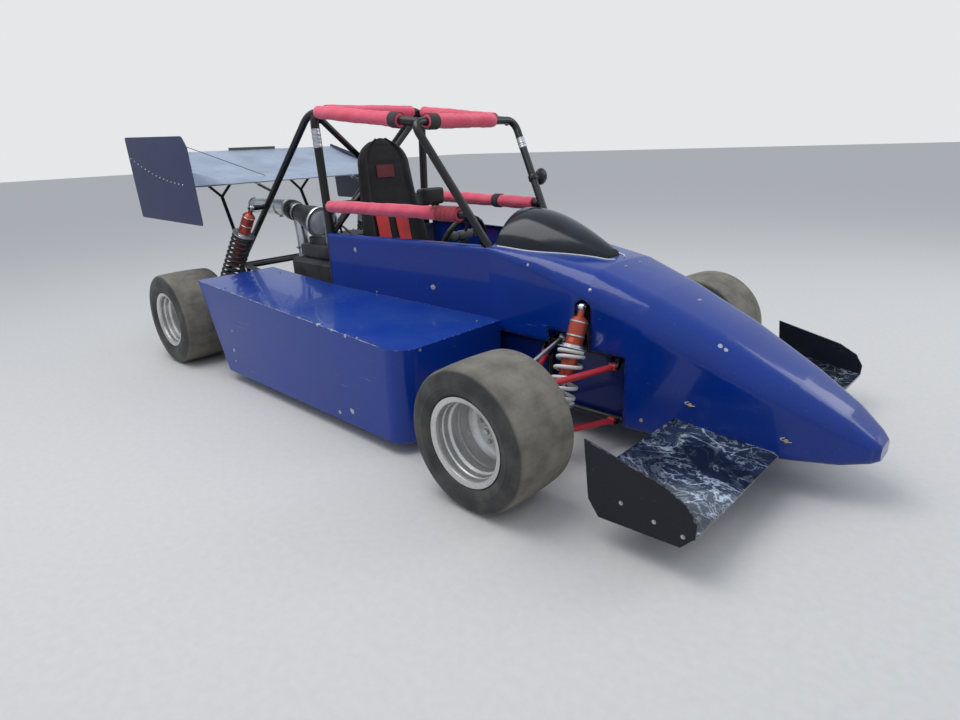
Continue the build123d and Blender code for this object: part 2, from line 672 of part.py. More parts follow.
# columns: ahead, z
pod_profile = [(-400.0, 50.0), (-386.0, 398.0), (-1900.0, 470.0), (-1712.0, 50.0)]
pod_gap = 0.5
for side, sign in sides.items():
    with BuildPart() as pod:
        with BuildSketch(Plane.XZ):
            with BuildLine():
                Polyline(*[(ahead(d), z) for d, z in pod_profile], close=True)
            make_face()
        extrude(amount=-sign * pod_outer_half)
        with BuildSketch(Plane.XY):
            with BuildLine():
                inner_front = hull_half(dash_ahead) + pod_gap
                inner_rear = hull_half(tub_rear_ahead) + pod_gap
                Polyline((ahead(-300), sign * (hull_half(-300) + pod_gap)), (ahead(dash_ahead), sign * inner_front),
                         (ahead(tub_rear_ahead), sign * inner_rear), (ahead(-2000), sign * inner_rear),
                         (ahead(-2000), 0), (ahead(-300), 0), close=True)
            make_face()
        extrude(amount=500, mode=Mode.SUBTRACT)
        corner_edges = pod.edges().filter_by(Axis.Z, tolerance=5).group_by(Axis.X)[-1].sort_by(Axis.Y)
        fillet(corner_edges[-1 if sign > 0 else 0], pod_corner)
    finish(pod, f"side_pod_{side}")

# Seat: a high backed bucket
seat_half = 185.0
# columns: ahead, z of the seat's front line from the back's top to the cushion's front edge
seat_front = [(-1302.0, 1074.0), (-1262.0, 800.0), (-1150.0, 300.0), (-1060.0, 215.0), (-720.0, 260.0)]
seat_rest = belly_floor_z + sheet + seat_gap
seat_back = [(-720.0, 190.0), (-800.0, seat_rest), (-1150.0, seat_rest), (-1240.0, 210.0),
             (-1332.0, 800.0), (-1345.0, 1074.0)]
with BuildPart() as seat:
    with BuildSketch(Plane.XZ):
        with BuildLine():
            Polyline(*[(ahead(d), z) for d, z in seat_front + seat_back], close=True)
        make_face()
    extrude(amount=seat_half, both=True)
    top_edges = seat.edges().filter_by(Axis.X, tolerance=20).group_by(Axis.Z)[-1]
    fillet(top_edges, 70)
finish(seat, "seat")

# Shoulder and lap belts lying on the seat
belt_width = 50.0
belt_thickness = 4.0
with BuildPart() as belts:
    for half in (-85.0, 85.0):
        for (a, za), (b, zb) in (((-1258.0, 770.0), (-1152.0, 300.0)),):
            high, low = Vector(ahead(a) + 5, half, za), Vector(ahead(b) + 5, half, zb)
            run = low - high
            with Locations(Plane(origin=high, x_dir=(0, 1, 0), z_dir=run).location):
                Box(belt_width, belt_thickness, run.length, align=(Align.CENTER, Align.CENTER, Align.MIN))
finish(belts, "harness_belts")

# Steering: wheel and shaft, rack housing, and the rack's bar with both tie rods
wheel_hub = (-800.0, 620.0)
rack_ahead = -105.0
rack_z = 375.0
rack_bar_radius = 12.0
rack_bar_half = 203.0
rack_travel = 38.5
rack_ball_radius = rack_bar_radius + 3
rack_housing_half = rack_bar_half - rack_ball_radius - rack_travel - 5
steering_wheel_radius = 130.0
shaft_radius = 9.0
pinion = Vector(ahead(rack_ahead) - 34, 0, rack_z + 12)
hub_point = Vector(ahead(wheel_hub[0]), 0, wheel_hub[1])
column = (pinion - hub_point).normalized()
wheel_plane = Plane(origin=hub_point, x_dir=(0, 1, 0), z_dir=-column)
with BuildPart() as steering_wheel:
    with Locations(wheel_plane.location):
        Torus(steering_wheel_radius, 13)
        Cylinder(34, 22)
        for turn in (0, 120, 240):
            with Locations(Location((0, 0, 0), (0, 0, turn + 90))):
                with Locations((steering_wheel_radius / 2, 0, 0)):
                    Box(steering_wheel_radius, 24, 6)
finish(steering_wheel, "steering_wheel")

with BuildPart() as shaft:
    tube(hub_point + column * 11, pinion, shaft_radius)
finish(shaft, "steering_shaft")

with BuildPart() as rack_housing:
    tube((ahead(rack_ahead), -rack_housing_half, rack_z), (ahead(rack_ahead), rack_housing_half, rack_z), 20)
    tube(pinion - column * 30, pinion + column * 24, 20)
    for half in (-120.0, 120.0):
        tube((ahead(rack_ahead), half, rack_z), (ahead(-175) + 13, half, rail_high_z + 4), 9)
    with Locations(Plane(origin=(ahead(rack_ahead), 0, rack_z), z_dir=(0, 1, 0)).location):
        Cylinder(rack_bar_radius + running_clearance, 2 * rack_housing_half + 20, mode=Mode.SUBTRACT)
    with Locations(Plane(origin=pinion - column * 40, z_dir=column).location):
        Cylinder(shaft_radius + running_clearance, 42, align=(Align.CENTER, Align.CENTER, Align.MIN),
                 mode=Mode.SUBTRACT)
finish(rack_housing, "rack_housing")

tie_rod_radius = 8.0
with BuildPart() as tie_rods:
    tube((ahead(rack_ahead), -rack_bar_half, rack_z), (ahead(rack_ahead), rack_bar_half, rack_z), rack_bar_radius)
    for sign in sides.values():
        inner = (ahead(rack_ahead), sign * rack_bar_half, rack_z)
        outer = (ahead(-steer_arm_length), sign * kingpin_half, rod_end_z)
        tube(inner, outer, tie_rod_radius)
        with Locations(inner):
            Sphere(rack_ball_radius)
        with Locations(outer):
            Cylinder(rod_end_radius, rod_end_height)
finish(tie_rods, "rack_tie_rods")

# Engine: one plain block across the bay behind the seat
with BuildPart() as engine:
    engine_low = rail_low_z + frame_tube_radius + seat_gap
    with Locations((ahead(-1710), -30, engine_low)):
        Box(400, 350, 390, align=(Align.CENTER, Align.CENTER, Align.MIN))
    chamfer(engine.edges().filter_by(Axis.X), 30)
finish(engine, "engine_block")

# Intake: a cone with its mouth to the front, then a straight tube, on an elbow from the engine
with BuildPart() as intake:
    mouth = Vector(ahead(-1680), -150, 694)
    neck = Vector(ahead(-1960), -150, 752)
    tail = Vector(ahead(-2335), -150, 758)
    run = neck - mouth
    with Locations(Plane(origin=mouth, z_dir=run).location):
        Cone(79, 42, run.length, align=(Align.CENTER, Align.CENTER, Align.MIN))
    tube(neck - run.normalized() * 20, tail, 41)
    tube((ahead(-1850), -150, engine_low + 390 + seat_gap), (ahead(-1850), -150, 725), 30)
finish(intake, "intake_duct")

# Catch tank on the harness bar
with BuildPart() as tank:
    with Locations((ahead(main_hoop_ahead) - 75, -240, 690)):
        Cylinder(32, 150)
    tube((ahead(main_hoop_ahead) - 75, -240, 750),
         (ahead(main_hoop_ahead) - 17, -240, side_bar_rear_z - 6), 6)
finish(tank, "catch_tank")

# Mirrors
with BuildPart() as mirrors:
    with Locations((ahead(-700), -262, 856)):
        Box(28, 120, 62)
    tube((ahead(-700), -262, 840), (ahead(-700), -250, 800), 6)
    start, end, *_ = [bar for bar in pad_bars if bar[0][1] == -side_bar_front[1]][0]
    tube(start, end, pad_radius + seat_gap, mode=Mode.SUBTRACT)
    with Locations(Plane(origin=(ahead(-575), 306, 894), z_dir=(1, 0, 0)).location):
        Cylinder(34, 22)
    leg_low = Vector(ahead(front_foot_ahead), front_foot_half, front_knee_z)
    leg_high = Vector(*front_leg_top(1))
    tube((ahead(-575), 306, 894), leg_low + (leg_high - leg_low) * ((894 - leg_low.Z) / (leg_high.Z - leg_low.Z)), 6)
    tube(leg_low, leg_high, brace_tube_radius + seat_gap, mode=Mode.SUBTRACT)
finish(mirrors, "mirrors")

# Front wings: a sheet plane each side of the nose with an end plate
front_wing_half = 700.0
plate_thickness = 5.0
plane_rear, plane_front = (341.0, 186.0), (671.0, 134.0)
plane_thickness = 8.0
front_plate = [(334, 301), (350, 128), (383, 83), (619, 94), (655, 133), (657, 170), (632, 212), (570, 245)]
with BuildPart() as front_planes:
    for sign in sides.values():
        with BuildSketch(Plane.XZ):
            with BuildLine():
                Polyline((ahead(plane_rear[0]), plane_rear[1]), (ahead(plane_front[0] - 16), plane_front[1] + 2),
                         (ahead(plane_front[0] - 16), plane_front[1] + 2 - plane_thickness),
                         (ahead(plane_rear[0]), plane_rear[1] - 3), close=True)
            make_face()
        extrude(amount=-sign * front_wing_half)
    add(hull(nose_sections, seat_gap), mode=Mode.SUBTRACT)
    with BuildSketch(Plane.XY):
        with Locations((ahead(500), 0)):
            Rectangle(500, 200)
    extrude(amount=400, mode=Mode.SUBTRACT)
finish(front_planes, "front_wing_planes")

with BuildPart() as front_plates:
    for sign in sides.values():
        with BuildSketch(Plane.XZ.offset(-sign * front_wing_half)):
            with BuildLine():
                Polyline(*[(ahead(d), z) for d, z in front_plate], close=True)
            make_face()
        extrude(amount=-sign * plate_thickness)
finish(front_plates, "front_wing_plates")

# End plates of the rear wing
with BuildPart() as rear_plates:
    for sign in sides.values():
        with BuildSketch(Plane.XZ.offset(-sign * rear_wing_half)):
            with BuildLine():
                Polyline(*[(ahead(d), z) for d, z in rear_plate], close=True)
            make_face()
        extrude(amount=-sign * plate_thickness)
finish(rear_plates, "rear_wing_plates")

# Wing stays: on each side a trunk from the frame's tail that forks to the wing's underside
stay_foot = (rear_frame_ahead - 6, rear_frame_half, rear_rail_high_z + 15)
stay_fork = (-2508.0, 261.0, 808.0)
stay_tips = [(-2665.0, 1000.0), (-2560.0, 980.0), (-2360.0, 930.0)]
with BuildPart() as stays:
    for sign in sides.values():
        fork = (ahead(stay_fork[0]), sign * stay_fork[1], stay_fork[2])
        tube((ahead(stay_foot[0]), sign * stay_foot[1], stay_foot[2]), fork, 10)
        for d, z in stay_tips:
            tube(fork, (ahead(d), sign * stay_fork[1], z), 8)
        with Locations(fork):
            Sphere(12)
    add(rear_plane.part, mode=Mode.SUBTRACT)
finish(stays, "wing_stays")
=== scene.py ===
"""An open wheel racing car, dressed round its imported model. All lengths are metres in the model's own frame."""
import math

import bmesh
import bpy
import numpy as np
from mathutils import Matrix, Vector


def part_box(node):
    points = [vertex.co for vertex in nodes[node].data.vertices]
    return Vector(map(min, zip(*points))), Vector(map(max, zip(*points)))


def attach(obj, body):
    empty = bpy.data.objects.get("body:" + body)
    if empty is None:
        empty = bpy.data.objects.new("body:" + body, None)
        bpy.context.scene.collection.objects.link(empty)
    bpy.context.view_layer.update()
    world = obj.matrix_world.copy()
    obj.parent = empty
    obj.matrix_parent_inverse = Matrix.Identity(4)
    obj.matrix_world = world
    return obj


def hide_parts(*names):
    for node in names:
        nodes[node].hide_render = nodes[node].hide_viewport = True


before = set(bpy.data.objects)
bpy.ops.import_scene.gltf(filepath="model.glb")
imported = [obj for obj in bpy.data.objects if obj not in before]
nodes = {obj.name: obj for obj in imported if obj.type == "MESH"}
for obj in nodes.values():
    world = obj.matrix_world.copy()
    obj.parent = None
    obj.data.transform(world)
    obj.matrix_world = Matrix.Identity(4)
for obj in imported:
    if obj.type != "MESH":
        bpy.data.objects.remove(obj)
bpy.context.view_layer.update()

# The camera stands to the right of the car's nose, about as high as the driver's head, and looks back along
# the body. Its place, turn and lens were fitted to the picture.
picture_wide, picture_high, focal, sensor = 960, 720, 631.3, 36
eye = (2.1059, -1.9647, 1.0543)
yaw, pitch, roll = 2.3439, 0.3339, -0.0429
camera = bpy.data.objects.new("camera", bpy.data.cameras.new("camera"))
bpy.context.scene.collection.objects.link(camera)
bpy.context.scene.camera = camera
look = np.array((math.cos(pitch) * math.cos(yaw), math.cos(pitch) * math.sin(yaw), -math.sin(pitch)))
level = np.array((math.sin(yaw), -math.cos(yaw), 0.0))
upward = np.cross(level, look)
right = math.cos(roll) * level + math.sin(roll) * upward
above = math.cos(roll) * upward - math.sin(roll) * level
turn = Matrix(np.column_stack((right, above, -look)).tolist()).to_4x4()
camera.matrix_world = Matrix.Translation(eye) @ turn
camera.data.sensor_width = sensor
camera.data.lens = focal / picture_wide * sensor
camera.data.clip_end = 200


# The floor is pale and matt, under soft light from a high white sky and two wide lamps.
# Finishes are node trees: a Shade is one value in such a tree, and sums of Shades add Math nodes.
class Shade:
    """One socket of a finish. Arithmetic on it adds a Math node and gives the result's socket."""

    def __init__(self, tree, socket):
        self.tree, self.socket = tree, socket

    def maths(self, operation, *values):
        """The result of one Math node on the values, which are Shades or numbers."""
        return grow(self.tree, "Math", {"operation": operation}, dict(enumerate(values)))

    def __add__(self, other):
        return self.maths("ADD", self, other)

    def __mul__(self, other):
        return self.maths("MULTIPLY", self, other)

    def __sub__(self, other):
        return self.maths("SUBTRACT", self, other)

    def __rsub__(self, other):
        return self.maths("SUBTRACT", other, self)

    def __pow__(self, other):
        return self.maths("POWER", self, other)

    def __lt__(self, other):
        return self.maths("LESS_THAN", self, other)

    __radd__, __rmul__ = __add__, __mul__

    def ramp(self, low, high, start=0.0, end=1.0):
        """Runs from start to end while this value runs from low to high, and stays there outside."""
        return grow(self.tree, "MapRange", {"clamp": True}, {
            "Value": self, "From Min": low, "From Max": high, "To Min": start, "To Max": end})

    def sine(self):
        """The sine of this value, in radians."""
        return self.maths("SINE", self)


def grow(tree, kind, settings, inputs, output=0):
    """Adds a node of a kind, with its settings first, then the values or links of its sockets."""
    node = tree.nodes.new("ShaderNode" + kind)
    for key, value in settings.items():
        if key == "stops":
            ramp = node.color_ramp
            while len(ramp.elements) < len(value):
                ramp.elements.new(0.5)
            for element, (place, colour) in zip(ramp.elements, value):
                element.position, element.color = place, (*colour, 1.0)
        else:
            setattr(node, key, value)
    for key, value in inputs.items():
        socket = node.inputs[key]
        if isinstance(value, Shade):
            tree.links.new(value.socket, socket)
        elif socket.type == "RGBA" and len(value) == 3:
            socket.default_value = (*value, 1.0)
        else:
            socket.default_value = value
    return Shade(tree, node.outputs[output])


class Finish:
    """A surface finish: a principled shader whose colour, roughness and bump come from expressions."""

    def __init__(self, name):
        self.material = bpy.data.materials.new(name)
        self.material.use_nodes = True
        self.tree = self.material.node_tree
        self.tree.nodes.clear()
        self.place = grow(self.tree, "TexCoord", {}, {}, "Object")

    def noise(self, scale, detail=3.0, place=None):
        """A cloudy value round 0.5, with blots about one over scale wide."""
        return grow(self.tree, "TexNoise", {}, {
            "Vector": place or self.place, "Scale": scale, "Detail": detail, "Roughness": 0.55})

    def cells(self, scale):
        """The distance to the nearest of scattered points."""
        return grow(self.tree, "TexVoronoi", {}, {"Vector": self.place, "Scale": scale}, "Distance")

    def stretch(self, scale, turn=(0.0, 0.0, 0.0), shift=(0.0, 0.0, 0.0)):
        """Coordinates scaled, turned or shifted, so that a pattern draws out along one way."""
        return grow(self.tree, "Mapping", {}, {
            "Vector": self.place, "Scale": scale, "Rotation": turn, "Location": shift})

    def part(self, axis):
        """One coordinate of the place, X, Y or Z."""
        return grow(self.tree, "SeparateXYZ", {}, {0: self.place}, axis)

    def facing(self, axis):
        """One part of the surface's own normal, 1 where it faces along that axis."""
        return grow(self.tree, "SeparateXYZ", {}, {0: grow(self.tree, "NewGeometry", {}, {}, "Normal")}, axis)

    def mix(self, share, one, two):
        """Colour one where share is 0 and colour two where it is 1."""
        return grow(self.tree, "Mix", {"data_type": "RGBA"}, {"Factor": share, 6: one, 7: two}, 2)

    def bump(self, height, strength, distance, under=None):
        """A normal tilted by the slope of a height."""
        inputs = {"Height": height, "Strength": strength, "Distance": distance}
        if under:
            inputs["Normal"] = under
        return grow(self.tree, "Bump", {}, inputs)

    def surface(self, **sockets):
        """Ends the finish with its principled shader. Names stand for its sockets, with _ for a space."""
        inputs = {key.replace("_", " "): value for key, value in sockets.items()}
        shader = grow(self.tree, "BsdfPrincipled", {}, inputs)
        end = self.tree.nodes.new("ShaderNodeOutputMaterial")
        self.tree.links.new(shader.socket, end.inputs[0])
        return self.material


floor_finish = Finish("pale_floor")
speck = floor_finish.noise(40, 5)
floor_finish.surface(
    Base_Color=floor_finish.mix(speck, (0.55, 0.54, 0.52), (0.63, 0.62, 0.6)),
    Roughness=0.9, Normal=floor_finish.bump(speck, 0.15, 0.002))
floor_mesh = bpy.data.meshes.new("floor")
floor_mesh.from_pydata([(-40, -40, 0), (40, -40, 0), (40, 40, 0), (-40, 40, 0)], [], [(0, 1, 2, 3)])
floor_mesh.materials.append(floor_finish.material)
floor = bpy.data.objects.new("floor", floor_mesh)
bpy.context.scene.collection.objects.link(floor)

sky = bpy.data.worlds.new("sky")
sky.use_nodes = True
bpy.context.scene.world = sky
sky_tree = sky.node_tree
sky_tree.nodes.clear()
rays = grow(sky_tree, "LightPath", {}, {}, "Is Camera Ray")
height = grow(sky_tree, "SeparateXYZ", {}, {0: grow(sky_tree, "TexCoord", {}, {}, "Generated")}, "Z")
glow = grow(sky_tree, "ValToRGB", {"stops": [
    (0.0, (0.3, 0.29, 0.28)), (0.49, (0.42, 0.42, 0.43)), (0.53, (0.62, 0.66, 0.72)),
    (0.75, (0.72, 0.78, 0.88)), (1.0, (0.8, 0.85, 0.95))]}, {"Fac": height * 0.5 + 0.5})
shown = grow(sky_tree, "Mix", {"data_type": "RGBA"}, {"Factor": rays, 6: glow, 7: (0.93, 0.94, 0.96)}, 2)
ground = grow(sky_tree, "Background", {}, {"Color": shown, "Strength": 0.85})
sky_end = sky_tree.nodes.new("ShaderNodeOutputWorld")
sky_tree.links.new(ground.socket, sky_end.inputs[0])

for name, place, aim, size, power in (
    ("high_lamp", (-0.6, -1.4, 4.6), (0.0, 0.0, 0.3), (3.6, 3.0), 120.0),
    ("side_lamp", (3.4, 3.2, 3.0), (0.0, 0.0, 0.4), (2.4, 2.4), 45.0),
):
    lamp = bpy.data.objects.new(name, bpy.data.lights.new(name, "AREA"))
    lamp.data.shape = "RECTANGLE"
    lamp.data.size, lamp.data.size_y = size
    lamp.data.energy = power
    direction = Vector(aim) - Vector(place)
    lamp.matrix_world = Matrix.Translation(place) @ direction.to_track_quat("-Z", "Y").to_matrix().to_4x4()
    bpy.context.scene.collection.objects.link(lamp)

bpy.context.scene.view_settings.view_transform = "Standard"


# Tyres: worn slicks on ten inch rims, each one revolved from its bead over the bulged side wall to the tread.
# The tread is scuffed and brown with dust, the side walls stay dark, with a raised ring that guards the rim.
def joined(shapes):
    """Puts shapes, pairs of points and faces, into one pair, each face list moved on by the points before it."""
    points, faces, count = [], [], 0
    for some_points, some_faces in shapes:
        points.append(np.asarray(some_points, float).reshape(-1, 3))
        faces.extend([tuple(int(i) + count for i in face) for face in some_faces])
        count += len(points[-1])
    return np.concatenate(points), faces


def woven(rows, close_u=False, close_v=False):
    """Quads between neighbouring points of a grid of points; a closed way joins its last row to its first."""
    rows = np.asarray(rows, float)
    index = np.arange(rows.shape[0] * rows.shape[1]).reshape(rows.shape[:2])
    if close_u:
        index = np.vstack((index, index[:1]))
    if close_v:
        index = np.hstack((index, index[:, :1]))
    quads = np.stack((index[:-1, :-1], index[1:, :-1], index[1:, 1:], index[:-1, 1:]), -1).reshape(-1, 4)
    return rows.reshape(-1, 3), quads


def axes_along(direction):
    """Three unit vectors as columns, the last one along a direction."""
    z = np.asarray(direction, float) / np.linalg.norm(direction)
    x = np.cross(z, (0, 0, 1) if abs(z[2]) < 0.9 else (0, 1, 0))
    x /= np.linalg.norm(x)
    return np.column_stack((x, np.cross(z, x), z))


def circle(count):
    """Angles that divide a full turn evenly."""
    return np.linspace(0, 2 * math.pi, count, endpoint=False)


def about(reach, rise, spin, start, direction, loop=True):
    """A closed surface round a line: start + the line's axes * (reach * cos, reach * sin, rise)."""
    local = np.stack((reach * np.cos(spin), reach * np.sin(spin), np.broadcast_to(rise, (reach * spin).shape)), -1)
    return woven(np.asarray(start) + local @ axes_along(direction).T, close_u=loop, close_v=True)


def turned(profile, start, direction, sides=48, loop=False):
    """A profile of (distance, radius) pairs turned about a line: start + axis * distance + radius * (cos, sin)."""
    profile = np.asarray(profile, float)
    return about(profile[:, 1:], profile[:, :1], circle(sides)[None], start, direction, loop)


def rounded(corners, radius, steps=4):
    """A line of (distance, radius) corners with each inner corner cut back and bridged by a short curve."""
    corners = np.asarray(corners, float)
    before, corner, after = corners[:-2], corners[1:-1], corners[2:]
    into, onward = np.linalg.norm(corner - before, axis=1), np.linalg.norm(after - corner, axis=1)
    enter = corner - np.minimum(radius, into * 0.45)[:, None] * (corner - before) / into[:, None]
    leave = corner + np.minimum(radius, onward * 0.45)[:, None] * (after - corner) / onward[:, None]
    t = np.linspace(0, 1, steps)[None, :, None]
    curve = (1 - t) ** 2 * enter[:, None] + 2 * t * (1 - t) * corner[:, None] + t ** 2 * leave[:, None]
    return np.vstack((corners[:1], curve.reshape(-1, corners.shape[1]), corners[-1:]))


def lathed(corners, radius, start, direction, sides=48, loop=False, steps=3):
    """A profile turned about a line, its corners first softened over a radius."""
    return turned(rounded(corners, radius, steps), start, direction, sides, loop)


def make_piece(name, shapes, material, node=None, sharp=35, body="chassis"):
    """Joins shapes to one mesh, merges its doubled points, turns its faces outwards and shades it smooth. The
    piece rides on a body, and takes the place of a frame node where one is named."""
    points, faces = joined(shapes)
    mesh = bpy.data.meshes.new(name)
    mesh.from_pydata(points, [], faces)
    work = bmesh.new()
    work.from_mesh(mesh)
    bmesh.ops.remove_doubles(work, verts=work.verts, dist=1e-6)
    bmesh.ops.dissolve_degenerate(work, dist=1e-7, edges=work.edges)
    bmesh.ops.recalc_face_normals(work, faces=work.faces)
    work.to_mesh(mesh)
    work.free()
    mesh.materials.append(material)
    mesh.shade_smooth()
    mesh.set_sharp_from_angle(angle=math.radians(sharp))
    piece = bpy.data.objects.new(name, mesh)
    bpy.context.scene.collection.objects.link(piece)
    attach(piece, body)
    if node:
        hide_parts(node)
    return piece


front_axle = 0.913
rear_axle = front_axle - 2.211
# columns: name, body, x, half track, radius, half width, half width at the bead
wheels = [
    ("front_{}_right", "front_wheel_right", front_axle, -0.7068, 0.2288, 0.13, 0.113),
    ("front_{}_left", "front_wheel_left", front_axle, 0.7068, 0.2288, 0.13, 0.113),
    ("rear_{}_right", "rear_axle", rear_axle, -0.67, 0.236, 0.1375, 0.12),
    ("rear_{}_left", "rear_axle", rear_axle, 0.67, 0.236, 0.1375, 0.12),
]


def rubber(name, x, radius):
    """Dark rubber, dusty where it is further from the axle than its tread's edge."""
    f = Finish(name)
    across, up = f.part("X") - x, f.part("Z") - radius
    reach = (across * across + up * up) ** 0.5
    tread = reach.ramp(radius - 0.013, radius - 0.006)
    mottle, fine = f.noise(14, 6), f.noise(120, 4)
    scuffs = f.noise(1, 4, f.stretch((30, 3, 30))).ramp(0.45, 0.7)
    dust = tread * (mottle.ramp(0.3, 0.62, 0.55, 1.0)) * (0.75 + fine * 0.4)
    side = f.mix(mottle.ramp(0.4, 0.75), (0.02, 0.02, 0.021), (0.075, 0.07, 0.062))
    worn = f.mix(scuffs * 0.5, (0.205, 0.19, 0.155), (0.12, 0.11, 0.095))
    return f.surface(Base_Color=f.mix(dust, side, worn), Roughness=tread.ramp(0, 1, 0.55, 0.92),
                     Normal=f.bump(fine + mottle * 0.5, 0.35, 0.0015))


for pattern, body, x, y, radius, half, bead in wheels:
    wall = np.array([
        (bead - 0.002, 0.1275), (bead - 0.001, 0.1435), (bead + 0.006, 0.1455), (half - 0.004, 0.158),
        (half - 0.0005, 0.17), (half + 0.0005, 0.1715), (half + 0.0005, 0.1735), (half - 0.0005, 0.175),
        (half - 0.0005, 0.183), (half - 0.003, 0.2), (half - 0.008, radius - 0.015),
        (half - 0.013, radius - 0.0075), (half - 0.022, radius - 0.004)])
    crown = np.array([(w, radius - 0.004 * (w / (half - 0.022)) ** 2) for w in np.linspace(half - 0.03, 0, 8)])
    right_half = np.vstack((wall, crown))
    left_half = (right_half * (-1, 1))[::-1][1:]
    shape = lathed(np.vstack((right_half, left_half)), 0.003, (x, y, radius), (0, 1, 0), 128, True)
    name = pattern.format("tyre")
    make_piece(name + "_rubber", [shape], rubber(name + "_finish", x, radius), name, 50, body)


# Rims: spun alloy shells with a deep stepped barrel outwards, a ring of bolts round the centre, a nut on the
# axle and a short valve. They are polished by use and grey with dust in blots.
def studded(shape, points, normals):
    """Copies of a shape made on the z axis, one set at each point along its normal."""
    local, faces = shape
    points = np.asarray(points, float).reshape(-1, 3)
    frames = np.stack([axes_along(n) for n in np.broadcast_to(normals, points.shape)])
    return [(placed, faces) for placed in np.einsum("nij,vj->nvi", frames, local) + points[:, None]]


def bolts(points, normals, radius, height):
    """Six sided screw heads, each with a round washer."""
    washer = turned([(-0.001, 0), (-0.001, radius * 1.45), (height * 0.25, radius * 1.45), (height * 0.3, radius)],
                    (0, 0, 0), (0, 0, 1), 12)
    head = turned([(height * 0.3, radius), (height * 0.9, radius), (height, radius * 0.8), (height, 0)],
                  (0, 0, 0), (0, 0, 1), 6)
    return studded(joined([washer, head]), points, normals)


def rivets(points, normals, radius, height):
    """Low domes: height * cos and radius * sin of an angle from the pole to a little under the sheet."""
    arc = np.linspace(0, math.pi / 2, 4)
    profile = [*np.column_stack((height * np.cos(arc), radius * np.sin(arc))), (-0.001, radius), (-0.001, 0)]
    return studded(turned(profile, (0, 0, 0), (0, 0, 1), 10), points, normals)


def metal(name, colour, rough, grime=0.4, dark=(0.05, 0.045, 0.04), spots=9, brush=None):
    """Bare metal that dulls and darkens in blots, brushed along the axis whose scale is small."""
    f = Finish(name)
    lines = f.noise(1, 3, f.stretch(brush)) if brush else f.noise(180, 3)
    dirt = f.noise(spots, 6).ramp(0.46, 0.72) * grime
    shade = f.mix(lines.ramp(0.3, 0.7), tuple(c * 0.78 for c in colour), colour)
    return f.surface(Base_Color=f.mix(dirt, shade, dark), Metallic=dirt.ramp(0, 1, 0.95, 0.25),
                     Roughness=(lines * 0.18 + dirt * 0.4 + rough), Normal=f.bump(lines, 0.12, 0.0006))


rim_alloy = metal("rim_alloy_worn", (0.74, 0.735, 0.72), 0.26, 0.35, (0.2, 0.17, 0.13), 7)
zinc = metal("zinc_fasteners", (0.62, 0.61, 0.58), 0.28, 0.35, spots=60)
for pattern, body, x, y, radius, half, bead in wheels:
    out = 1 if y > 0 else -1
    outward, middle = (0, out, 0), np.array((x, y, radius))
    lip, face = bead + 0.005, bead + 0.005 - 0.15
    barrel = rounded([
        (face - 0.009, 0.0125), (face - 0.009, 0.112), (face - 0.004, 0.1155), (-lip + 0.004, 0.1185), (-lip, 0.127),
        (-lip, 0.1415), (-lip + 0.003, 0.1425), (-bead, 0.1415), (-bead, 0.1268), (bead, 0.1268), (bead, 0.1415),
        (lip - 0.003, 0.1428), (lip + 0.001, 0.1415), (lip, 0.1365), (lip - 0.004, 0.124), (lip - 0.016, 0.1215),
        (lip - 0.02, 0.1232), (lip - 0.03, 0.1232), (lip - 0.034, 0.1195), (lip - 0.052, 0.119),
        (lip - 0.058, 0.1115), (lip - 0.078, 0.1105), (lip - 0.081, 0.112), (lip - 0.088, 0.112),
        (lip - 0.091, 0.11), (face + 0.018, 0.1095), (face + 0.006, 0.1), (face + 0.001, 0.088),
        (face + 0.001, 0.06), (face + 0.006, 0.052), (face + 0.008, 0.036), (face + 0.01, 0.034),
        (face + 0.031, 0.033), (face + 0.031, 0.0125)], 0.0016, 3)
    barrel[:, 1] = np.minimum(barrel[:, 1], 0.1415)
    name = pattern.format("rim")
    make_piece(name + "_spun", [turned(barrel, middle, outward, 112, True)], rim_alloy, name, 28, body)
    spin = circle(6)[:, None]
    ring = np.hstack((np.cos(spin), 0 * spin, np.sin(spin)))
    heads = bolts(middle + ring * 0.07 + (0, out * (face + 0.001), 0), outward, 0.0065, 0.009)
    nut = turned([(face + 0.03, 0), (face + 0.03, 0.021), (face + 0.047, 0.021), (face + 0.05, 0.018),
                  (face + 0.05, 0.011), (face + 0.058, 0.01), (face + 0.058, 0)], middle, outward, 6)
    valve = turned([(0, 0.0), (0, 0.0055), (0.018, 0.0048), (0.02, 0.0035), (0.032, 0.0035), (0.032, 0)],
                   middle + (0.092, out * (face + 0.006), -0.025), outward, 14)
    make_piece(pattern.format("wheel_nut") + "_set", heads + [nut, valve], zinc, body=body)


# Coil-overs: round damper bodies in orange red anodised alloy, a pale collar threaded on each, and a
# round wire spring with closed ends. The front springs are pale and open, the rear ones black and longer.
def swept(points, radius, sides=12, up=(0, 0, 1)):
    """A round bar along points: each ring is radius * (cos, sin) in the two ways square to the path there."""
    points = np.asarray(points, float)
    way = np.gradient(points, axis=0)
    way /= np.linalg.norm(way, axis=1)[:, None]
    side = np.cross(way, up)
    side /= np.linalg.norm(side, axis=1)[:, None]
    top = np.cross(side, way)
    spin = circle(sides)[None, :, None]
    radii = np.broadcast_to(radius, (len(points),))[:, None, None]
    rows = points[:, None] + radii * (np.cos(spin) * side[:, None] + np.sin(spin) * top[:, None])
    rows = np.concatenate((np.repeat(points[:1, None], sides, 1), rows, np.repeat(points[-1:, None], sides, 1)))
    return woven(rows, close_v=True)


